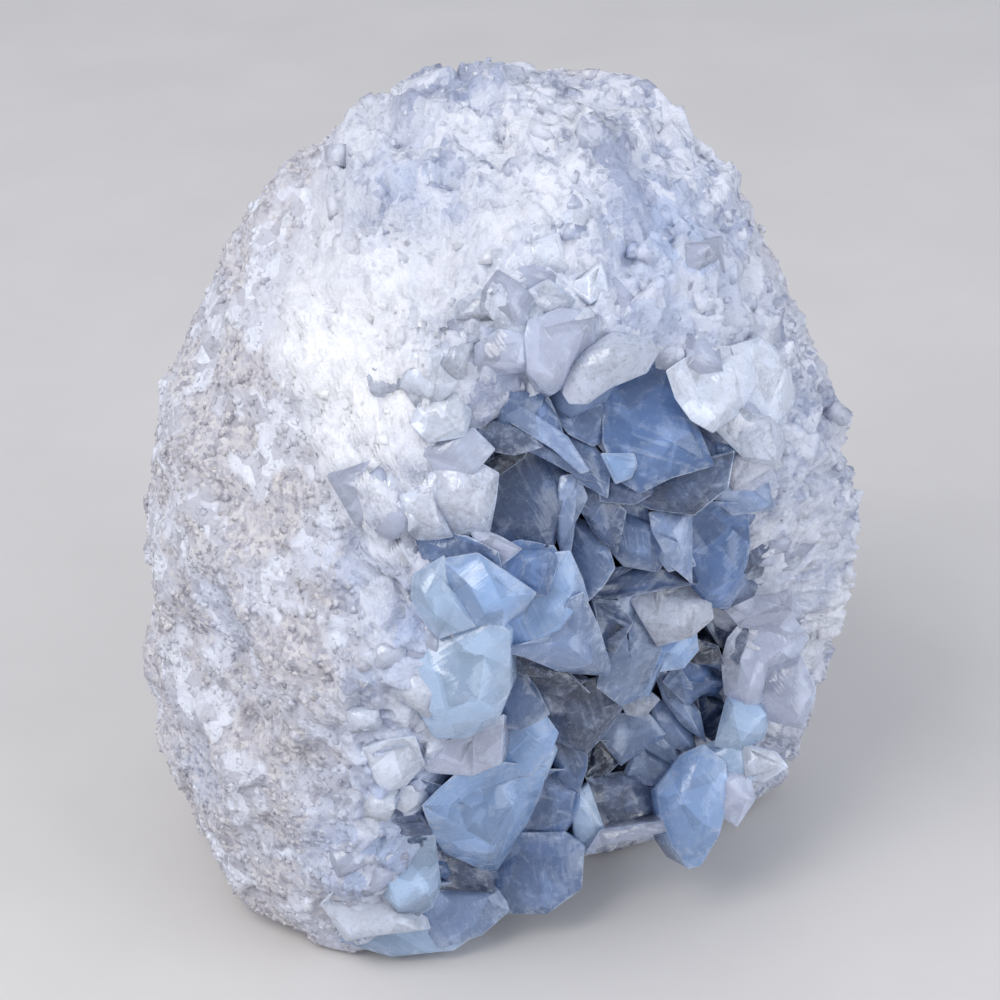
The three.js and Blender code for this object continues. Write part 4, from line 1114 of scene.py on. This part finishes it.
def crystal_material(name, look, absorbed, density):
    """Milky blue crystal: transmission that is lost in veils and cloudy crystals, fine growth lines,
    pale cracks, edges made paler partly by wear and partly as a painted highlight, grit in the gritty
    ones, painted light and shade that makes each face lighter or darker, and blue absorbed through
    the depth."""
    material, tree, shader, result, where = new_material(name)
    cloud = attribute(tree, "cloud")
    grit = attribute(tree, "grit")
    grown = attribute(tree, "grown", "Vector")
    broad_cells = cells(tree, where, BROAD_FACET, 0.4)
    fine_cells = cells(tree, where, FINE_FACET, 0.9)
    veils = between(tree, noise(tree, where, VEIL, detail=4, distortion=0.8), 0.44, 0.66)
    wisps = between(tree, noise(tree, where, WISP, distortion=0.5), 0.5, 0.72)
    flaws = times(tree, between(tree, streaks(tree, grown, (0.8, 0.3, 0.08), 2.0), 0.60, 0.68),
                  between(tree, noise(tree, where, FLAW_PATCH, detail=2), 0.42, 0.6))
    frosted = between(tree, noise(tree, where, FROSTING, detail=4, roughness=0.65), 0.46, 0.64)
    frosted = times(tree, frosted, maths(tree, "POWER", attribute(tree, "frost"), 2.0))
    # How much paler the edges are: partly wear, partly a painted highlight
    worn = between(tree, noise(tree, where, WEAR_AND_HIGHLIGHT, detail=2), 0.35, 0.6, 0.15, 0.75)
    specks = noise(tree, where, GRIT, roughness=0.7)

    # Random tone of the broad cells, plus painted light and shade: each face is made lighter or darker by
    # its shade value
    depth = plus(tree, between(tree, channel(tree, broad_cells, 0), 0, 1, 0.8, 1.12),
                 times(tree, attribute(tree, "shade"), 0.18))
    colour = mixed(tree, 1.0, attribute(tree, "stain", "Color"), depth, "MULTIPLY")
    for share in [
        times(tree, veils, between(tree, cloud, 0.3, 0.7, 0.09, 0.24)),
        times(tree, wisps, 0.18),
        times(tree, flaws, 0.22),
        times(tree, frosted, 0.6),
        # Pale edges: partly worn frost, partly a painted highlight
        times(tree, attribute(tree, "edge"), worn),
        times(tree, grit, between(tree, specks, 0.52, 0.6, 0, 0.8)),
    ]:
        colour = mixed(tree, share, colour, look.veil_and_highlight)
    colour = mixed(tree, times(tree, grit, between(tree, specks, 0.38, 0.46, 0.6, 0)), colour, look.grit)
    tree.links.new(colour, shader.inputs["Base Color"])
    milky = maths(tree, "MAXIMUM", cloud, times(tree, veils, 0.6))
    tree.links.new(between(tree, milky, 0, 1, look.clearness, 0.1), shader.inputs["Transmission Weight"])
    tree.links.new(between(tree, wisps, 0, 1, look.roughness, 0.4), shader.inputs["Roughness"])
    shader.inputs["IOR"].default_value = CELESTITE_IOR

    normal = node(tree, "ShaderNodeNewGeometry").outputs["Normal"]
    normal = tilted(tree, normal, broad_cells, 0.1)
    normal = tilted(tree, normal, fine_cells, between(tree, cloud, 0.35, 0.7, 0.08, 0.3))
    height = plus(tree, streaks(tree, grown, (1.6, 0.5, 0.12), 3.0),
                  times(tree, noise(tree, where, RIPPLE), 0.5))
    tree.links.new(bump(tree, height, 0.22, 0.0005, normal), shader.inputs["Normal"])
    volume = node(tree, "ShaderNodeVolumeAbsorption", {"Color": (*linear(absorbed), 1), "Density": density})
    tree.links.new(volume.outputs[0], result.inputs["Volume"])
    return material


def colour_property(name, description, srgb):
    """A colour setting with its default given in sRGB, 0 to 255."""
    default = tuple(float(c) for c in linear(srgb))
    return bpy.props.FloatVectorProperty(
        name=name, description=description, default=default, size=3, min=0, max=1, subtype="COLOR")


def share_property(name, description, default):
    """A setting from 0 to 1."""
    return bpy.props.FloatProperty(
        name=name, description=description, default=default, min=0, max=1, subtype="FACTOR")


def level_property(name, description, default, unit="NONE"):
    """A setting from 0 upwards."""
    return bpy.props.FloatProperty(name=name, description=description, default=default, min=0, unit=unit)


def count_property(name, description, default):
    """A number of like things."""
    return bpy.props.IntProperty(name=name, description=description, default=default, min=0)


def ends_property(name, description, default):
    """The least and the greatest of a length, in metres."""
    return bpy.props.FloatVectorProperty(
        name=name, description=description, default=default, size=2, unit="LENGTH")


class RindLook(bpy.types.PropertyGroup):
    """Sizes and colours of the rind and its grains."""

    skin_grey: colour_property("Skin grey", "Main colour of the outer skin", (178, 178, 190))
    skin_beige: colour_property("Skin beige", "Warm patches of the outer skin", (212, 209, 211))
    skin_pale: colour_property("Skin pale", "Pale lumps in the outer skin", (226, 230, 242))
    skin_speck: colour_property("Specks", "Dark grains in the skin", (142, 140, 152))
    sugar_white: colour_property("Sugar white", "Bright sugary rind near the mouth", (234, 235, 240))
    sugar_grey: colour_property("Sugar grey", "Main colour of the sugary rind", (208, 211, 222))
    sugar_shade: colour_property("Sugar shade", "Greyer places of the sugary rind", (150, 157, 180))
    blue: colour_property("Blue stone", "Bluish places of the rind", (168, 182, 212))
    glow: share_property("Glow", "Share of light that spreads below the surface", 0.2)
    glow_depth: level_property("Glow depth", "How far light spreads below the surface", 0.001, "LENGTH")
    skin_grains: count_property("Skin grains", "Number of grains on the outer skin", 16000)
    skin_size: ends_property(
        "Skin grain size", "Least and greatest half width of a skin grain", (0.0004, 0.0010))
    sugar_grains: count_property("Sugar grains", "Number of grains in the sugary zone", 700)
    sugar_size: ends_property(
        "Sugar grain size", "Least and greatest half width of a sugar grain", (0.0005, 0.0022))
    lip_crystals: count_property("Lip crystals", "Number of small crystals along the lip", 170)
    lip_size: ends_property("Lip crystal size", "Least and greatest width of a lip crystal", (0.004, 0.0095))


class CrystalLook(bpy.types.PropertyGroup):
    """Sizes, colours and clearness of the crystals."""

    # The veil colour also paints the pale edges, which are partly a painted highlight
    veil_and_highlight: colour_property("Veils", "Colour of the clouds inside the crystals", (214, 227, 250))
    grit: colour_property("Grit", "Colour of the dark grains in gritty crystals", (52, 54, 66))
    clearness: share_property("Clearness", "Transmission of a crystal with no cloud", 0.55)
    roughness: share_property("Roughness", "Roughness of a clean face", 0.18)
    bevel: level_property("Edge width", "Half width of the worn edges", 0.00022, "LENGTH")
    druse: count_property("Druse crystals", "Small crystals on the wall of the hollow", 800)
    druse_size: ends_property("Druse size", "Least and greatest width of a druse crystal", (0.005, 0.012))


class StageLook(bpy.types.PropertyGroup):
    """Floor and light of the studio."""

    floor: colour_property("Floor", "Colour of the floor", (205, 202, 200))
    sky: colour_property("Sky", "Colour of the light from all round", (231, 236, 248))
    sky_strength: level_property("Sky strength", "Strength of the light from all round", 0.76)
    key_power: level_property("Key power", "Power of the large soft light", 9.0, "POWER")
    fill_power: level_property("Fill power", "Power of the soft light at the right", 4.5, "POWER")


# Grains: their least and greatest rise in millimetres, how much they lean, and their seeds; the
# strength of the stone's bumps; and the powers by which small grains and crystals are the more common

GRAIN_KINDS = {"skin_grains": ((-0.15, 0.22), 0.3, 5), "sugar_grains": ((-0.35, 0.05), 0.15, 6)}
RIND_BUMP, GRAIN_BUMP = 0.9, 0.5
SMALL_POWER, DRUSE_POWER = 1.6, 1.5

# Small crystals of the lip and of the wall: the lowest that they stand; in shares of their width,
# how thick they are and how far the tip stands out of the rind; how much they lean; how far the
# foot lies from the tip, also in shares, or behind the wall; the slopes of their ends in degrees;
# how far their corners are cut; their seeds; and where on the lip, in rows, most of them stand

LOWEST = 4
LIP_THICK, LIP_TIP, LIP_LEAN, LIP_FOOT = (0.65, 0.95), (-0.12, 0.08), 0.2, (1.2, 1.8)
LIP_ENDS, LIP_CUT, LIP_SEED, FIRST_LIP_CRYSTAL = (4, 26), (0.84, 1.1), 7, 1000
LIP_MIDDLE, LIP_SPREAD = OUTER_ROWS - 4, 8.0
DRUSE_THICK, DRUSE_TIP, DRUSE_LEAN, DRUSE_FOOT = (0.6, 0.9), (0.6, 1.5), 0.4, 2
DRUSE_ENDS, DRUSE_CUT, DRUSE_SEED, FIRST_DRUSE_CRYSTAL = (20, 50), 0.88, 9, 4000


def sizes(rng, count, ends, power):
    """Random lengths in millimetres between two ends in metres, more of them small as the power grows."""
    low, high = ends[0] / MM, ends[1] / MM
    return low + (high - low) * rng.uniform(size=count) ** power


class GEODE_OT_rind(bpy.types.Operator):
    """Make the rind: outer face, lip and wall of the hollow as one fine surface"""

    bl_idname = "geode.rind"
    bl_label = "Rind"

    def execute(self, context):
        rings, _, sugar = rind_grid()
        back = outer_point(np.zeros(1), np.full(1, np.pi), fine=True)
        deepest = wall_point(np.zeros(1), np.ones(1), fine=True)
        points = np.concatenate([rings.reshape(-1, 3), back, deepest])
        rows = len(rings)
        faces = np.concatenate([
            strip_faces(rows, COLUMNS),
            fan_faces(rows * COLUMNS, 0, COLUMNS),
            fan_faces(rows * COLUMNS + 1, (rows - 1) * COLUMNS, COLUMNS, outward=False),
        ])
        faces = outward(points, faces)
        middles = points[faces].mean(axis=1)
        tones = {name: nearest_draw(middles, cell, seed)
                 for name, (cell, _, seed) in zip(("wide_tone", "small_tone"), SUGAR_FACES)}
        material = stone_material("rind_stone", context.scene.rind_look, RIND_BUMP)
        make_piece("rind", points, faces, material, "rind", ["geode_rind"],
                   sugar=np.concatenate([sugar.ravel(), [0, 1]]), **tones, **place_values(points))
        return {"FINISHED"}


class GEODE_OT_grains(bpy.types.Operator):
    """Strew the skin and the sugary zone with grains"""

    bl_idname = "geode.grains"
    bl_label = "Grains"

    def execute(self, context):
        look = context.scene.rind_look
        sugar = rind_grid()[2]
        outside = np.zeros(sugar.shape)
        outside[:OUTER_ROWS] = 1
        material = stone_material("grain_stone", look, GRAIN_BUMP)
        densities = {"skin_grains": outside * (1 - sugar) ** 2, "sugar_grains": outside * sugar}
        for name, density in densities.items():
            rises, lean, seed = GRAIN_KINDS[name]
            count, ends = getattr(look, name), getattr(look, name.replace("grains", "size"))
            rng = np.random.default_rng(seed)
            place, normal, picked = scatter(count, density, rng)
            size = sizes(rng, count, ends, SMALL_POWER)
            points, faces = grains(place, normal, size, rng.uniform(*rises, count), rng, lean)
            share = np.repeat(sugar.ravel()[picked], len(GRAIN_CORNERS))
            tones = {tone: np.repeat(rng.uniform(size=count), len(GRAIN_FACES))
                     for tone in ("wide_tone", "small_tone")}
            make_piece(name, points, faces, material, "rind", sugar=share, **tones, **place_values(points))
        return {"FINISHED"}


def crystal_attributes(tints, number):
    """Colour, cloudiness and grit at each point, for crystals given by their tints and the number
    of points of each."""
    return {
        "stain": np.repeat([[*linear(TINTS[tint][0]), 1] for tint in tints], number, axis=0),
        "cloud": np.repeat([TINTS[tint][1] for tint in tints], number),
        "grit": np.repeat([TINTS[tint][2] for tint in tints], number),
    }


class GEODE_OT_lip(bpy.types.Operator):
    """Set small pale crystals along the lip of the hollow"""

    bl_idname = "geode.lip"
    bl_label = "Lip crystals"

    def execute(self, context):
        look = context.scene.rind_look
        count = look.lip_crystals
        rng = np.random.default_rng(LIP_SEED)
        density = np.zeros(rind_grid()[2].shape)
        rows = np.arange(len(density))
        density[:] = np.exp(-(((rows - LIP_MIDDLE) / LIP_SPREAD) ** 2))[:, None]
        place, normal, _ = scatter(count, density, rng, LOWEST)
        wide = sizes(rng, count, look.lip_size, SMALL_POWER)
        thick = wide * rng.uniform(*LIP_THICK, count)
        way = unit(normal + LIP_LEAN * rng.normal(size=normal.shape))
        tip = place + way * (wide * rng.uniform(*LIP_TIP, count))[:, None]
        foot = tip - way * (wide * rng.uniform(*LIP_FOOT, count))[:, None]
        ends = rng.uniform(*LIP_ENDS, (count, 4))
        skew = rng.uniform(-SKEW, SKEW, (count, 2))
        turn = rng.uniform(0, 360, count)
        cut = rng.uniform(*LIP_CUT, count)
        seeds = FIRST_LIP_CRYSTAL + np.arange(count)
        points, faces, local, number = crystal_points(foot, tip, wide, thick, turn, ends, cut, skew, seeds)
        tints = rng.choice(list(LIP_TINTS), count, p=list(LIP_TINTS.values()))
        material = crystal_material("lip_crystal", context.scene.crystal_look, *LIP_ABSORBED)
        make_piece("lip_crystals", points, faces, material, "celestite", grown=local,
                   **crystal_attributes(tints, number))
        return {"FINISHED"}


class GEODE_OT_crystals(bpy.types.Operator):
    """Grow the named crystals of the hollow, pale, blue and smoky"""

    bl_idname = "geode.crystals"
    bl_label = "Crystals"

    def execute(self, context):
        look = context.scene.crystal_look
        for name, (tints, *absorbed) in CRYSTAL_PIECES.items():
            numbers = [n for n, crystal in enumerate(CRYSTALS) if crystal[-1] in tints]
            made = []
            for n in numbers:
                draw = fraction(n, np.arange(9), 1, CRYSTAL_SEED)
                made.append(front_crystal(*CRYSTALS[n][:3], look.bevel / MM, draw))
            counts = np.array([len(points) for points, *_ in made])
            starts = np.cumsum(counts) - counts
            points, faces, values, face_numbers = zip(*made)
            faces = np.concatenate([f + start for f, start in zip(faces, starts)])
            values = {label: np.concatenate([one[label] for one in values]) for label in values[0]}
            # Painted light and shade: each face gets a random lightness, the more so on crystals with taller
            # peaks
            painted_facet_shades = []
            for place, (n, face_number) in enumerate(zip(numbers, face_numbers)):
                amount = min(1, LEAST_PAINTED_SHADE + abs(CRYSTALS[n][2][2]) / FULLY_PAINTED_PEAK)
                painted_facet_shades.append((fraction(face_number, place, 2, CRYSTAL_SEED) * 2 - 1) * amount)
            material = crystal_material(name + "_mineral", look, *absorbed)
            make_piece(name, np.concatenate(points), faces, material, "celestite", ["crystal_crust"],
                       shade=np.concatenate(painted_facet_shades), **values,
                       **crystal_attributes([CRYSTALS[n][-1] for n in numbers], counts))
        return {"FINISHED"}


class GEODE_OT_druse(bpy.types.Operator):
    """Cover the wall of the hollow with small dark crystals"""

    bl_idname = "geode.druse"
    bl_label = "Druse"

    def execute(self, context):
        look = context.scene.crystal_look
        count = look.druse
        rng = np.random.default_rng(DRUSE_SEED)
        density = np.zeros(rind_grid()[2].shape)
        density[OUTER_ROWS + LIP_ROWS:] = 1
        place, _, _ = scatter(count, density, rng, LOWEST)
        way = unit(off_wall(place) + DRUSE_LEAN * rng.normal(size=place.shape))
        wide = sizes(rng, count, look.druse_size, DRUSE_POWER)
        thick = wide * rng.uniform(*DRUSE_THICK, count)
        tip = place + way * (wide * rng.uniform(*DRUSE_TIP, count))[:, None]
        tip = np.where(behind_fronts(tip, DRUSE_GAP)[:, None], tip, place + way)
        foot = place - way * DRUSE_FOOT
        ends = rng.uniform(*DRUSE_ENDS, (count, 4))
        skew = rng.uniform(-SKEW, SKEW, (count, 2))
        turn = rng.uniform(0, 360, count)
        seeds = FIRST_DRUSE_CRYSTAL + np.arange(count)
        points, faces, local, number = crystal_points(
            foot, tip, wide, thick, turn, ends, DRUSE_CUT, skew, seeds)
        material = crystal_material("druse_mineral", look, *DRUSE_ABSORBED)
        make_piece("druse", points, faces, material, "celestite", ["crystal_crust"], grown=local,
                   **crystal_attributes(rng.choice(DRUSE_TINTS, count), number))
        return {"FINISHED"}


def aimed(place, target):
    """The matrix of a lamp or camera at a place that looks at a target."""
    way = Vector(target) - Vector(place)
    return Matrix.Translation(place) @ way.to_track_quat("-Z", "Y").to_matrix().to_4x4()


def add_area_light(name, power, place, size, colour):
    """A square soft light that looks at the middle of the egg."""
    lamp = bpy.data.lights.new(name, "AREA")
    lamp.size = size
    lamp.energy = power
    lamp.color = colour
    holder = bpy.data.objects.new(name, lamp)
    holder.matrix_world = aimed(place, (0, 0, HEIGHT / 2 * MM))
    bpy.context.scene.collection.objects.link(holder)


# Stage: the floor's reach; place, size and colour of the lights, in metres; and the camera, with
# the picture's pixels for each millimetre at the sight centre

FLOOR_REACH = 3.0
KEY_LIGHT = ((-0.55, -0.55, 0.95), 0.7, (1.0, 0.98, 0.95))
FILL_LIGHT = ((0.8, -0.5, 0.45), 0.8, (0.92, 0.96, 1.0))
IMAGE_PIXELS = 1000
PIXELS_PER_MM = 5.33
SENSOR_WIDTH = 36
PRINCIPAL_SHIFT = 0.003


class GEODE_OT_stage(bpy.types.Operator):
    """Set up the floor, the soft light and the camera"""

    bl_idname = "geode.stage"
    bl_label = "Stage"

    def execute(self, context):
        look = context.scene.stage_look
        corners = np.array([[-1, -1, 0], [1, -1, 0], [1, 1, 0], [-1, 1, 0]]) * FLOOR_REACH
        mesh = bpy.data.meshes.new("floor")
        mesh.from_pydata(corners.tolist(), [], [(0, 1, 2, 3)])
        material, tree, shader, _, where = new_material("floor_paint")
        shade = between(tree, noise(tree, where, 0.05, detail=4), 0.3, 0.7, 0.96, 1.0)
        colour = mixed(tree, 1.0, look.floor, shade, "MULTIPLY")
        tree.links.new(colour, shader.inputs["Base Color"])
        shader.inputs["Roughness"].default_value = 0.6
        mesh.materials.append(material)
        floor = bpy.data.objects.new("floor", mesh)
        context.scene.collection.objects.link(floor)

        world = bpy.data.worlds.new("studio")
        world.use_nodes = True
        background = world.node_tree.nodes["Background"]
        background.inputs["Color"].default_value = (*look.sky, 1)
        background.inputs["Strength"].default_value = look.sky_strength
        context.scene.world = world
        context.scene.view_settings.view_transform = "Standard"
        add_area_light("key", look.key_power, *KEY_LIGHT)
        add_area_light("fill", look.fill_power, *FILL_LIGHT)

        camera = bpy.data.cameras.new("camera")
        camera.sensor_width = SENSOR_WIDTH
        camera.lens = SENSOR_WIDTH * SIGHT_DISTANCE * PIXELS_PER_MM / IMAGE_PIXELS
        camera.shift_y = PRINCIPAL_SHIFT
        place = (SIGHT_CENTRE - SIGHT_IN * SIGHT_DISTANCE) * MM
        holder = bpy.data.objects.new("camera", camera)
        holder.matrix_world = aimed(place.tolist(), (SIGHT_CENTRE * MM).tolist())
        context.scene.collection.objects.link(holder)
        context.scene.camera = holder
        return {"FINISHED"}


OPERATORS = [
    GEODE_OT_rind, GEODE_OT_grains, GEODE_OT_lip, GEODE_OT_crystals, GEODE_OT_druse, GEODE_OT_stage,
]
LOOKS = {"rind_look": RindLook, "crystal_look": CrystalLook, "stage_look": StageLook}


class GEODE_PT_panel(bpy.types.Panel):
    """Settings and steps of the geode"""

    bl_label = "Celestite Geode"
    bl_space_type = "VIEW_3D"
    bl_region_type = "UI"
    bl_category = "Geode"

    def draw(self, context):
        for operator in OPERATORS:
            self.layout.operator(operator.bl_idname)
        for label, group in LOOKS.items():
            box = self.layout.box()
            for name in group.__annotations__:
                box.prop(getattr(context.scene, label), name)


def register():
    for group in LOOKS.values():
        bpy.utils.register_class(group)
    for label, group in LOOKS.items():
        setattr(bpy.types.Scene, label, bpy.props.PointerProperty(type=group))
    for kind in (*OPERATORS, GEODE_PT_panel):
        bpy.utils.register_class(kind)


def unregister():
    for kind in (GEODE_PT_panel, *reversed(OPERATORS)):
        bpy.utils.unregister_class(kind)
    for label, group in LOOKS.items():
        delattr(bpy.types.Scene, label)
        bpy.utils.unregister_class(group)


def main():
    """Makes every piece and the stage."""
    register()
    bpy.ops.geode.rind()
    bpy.ops.geode.grains()
    bpy.ops.geode.lip()
    bpy.ops.geode.crystals()
    bpy.ops.geode.druse()
    bpy.ops.geode.stage()


if __name__ == "__main__":
    main()
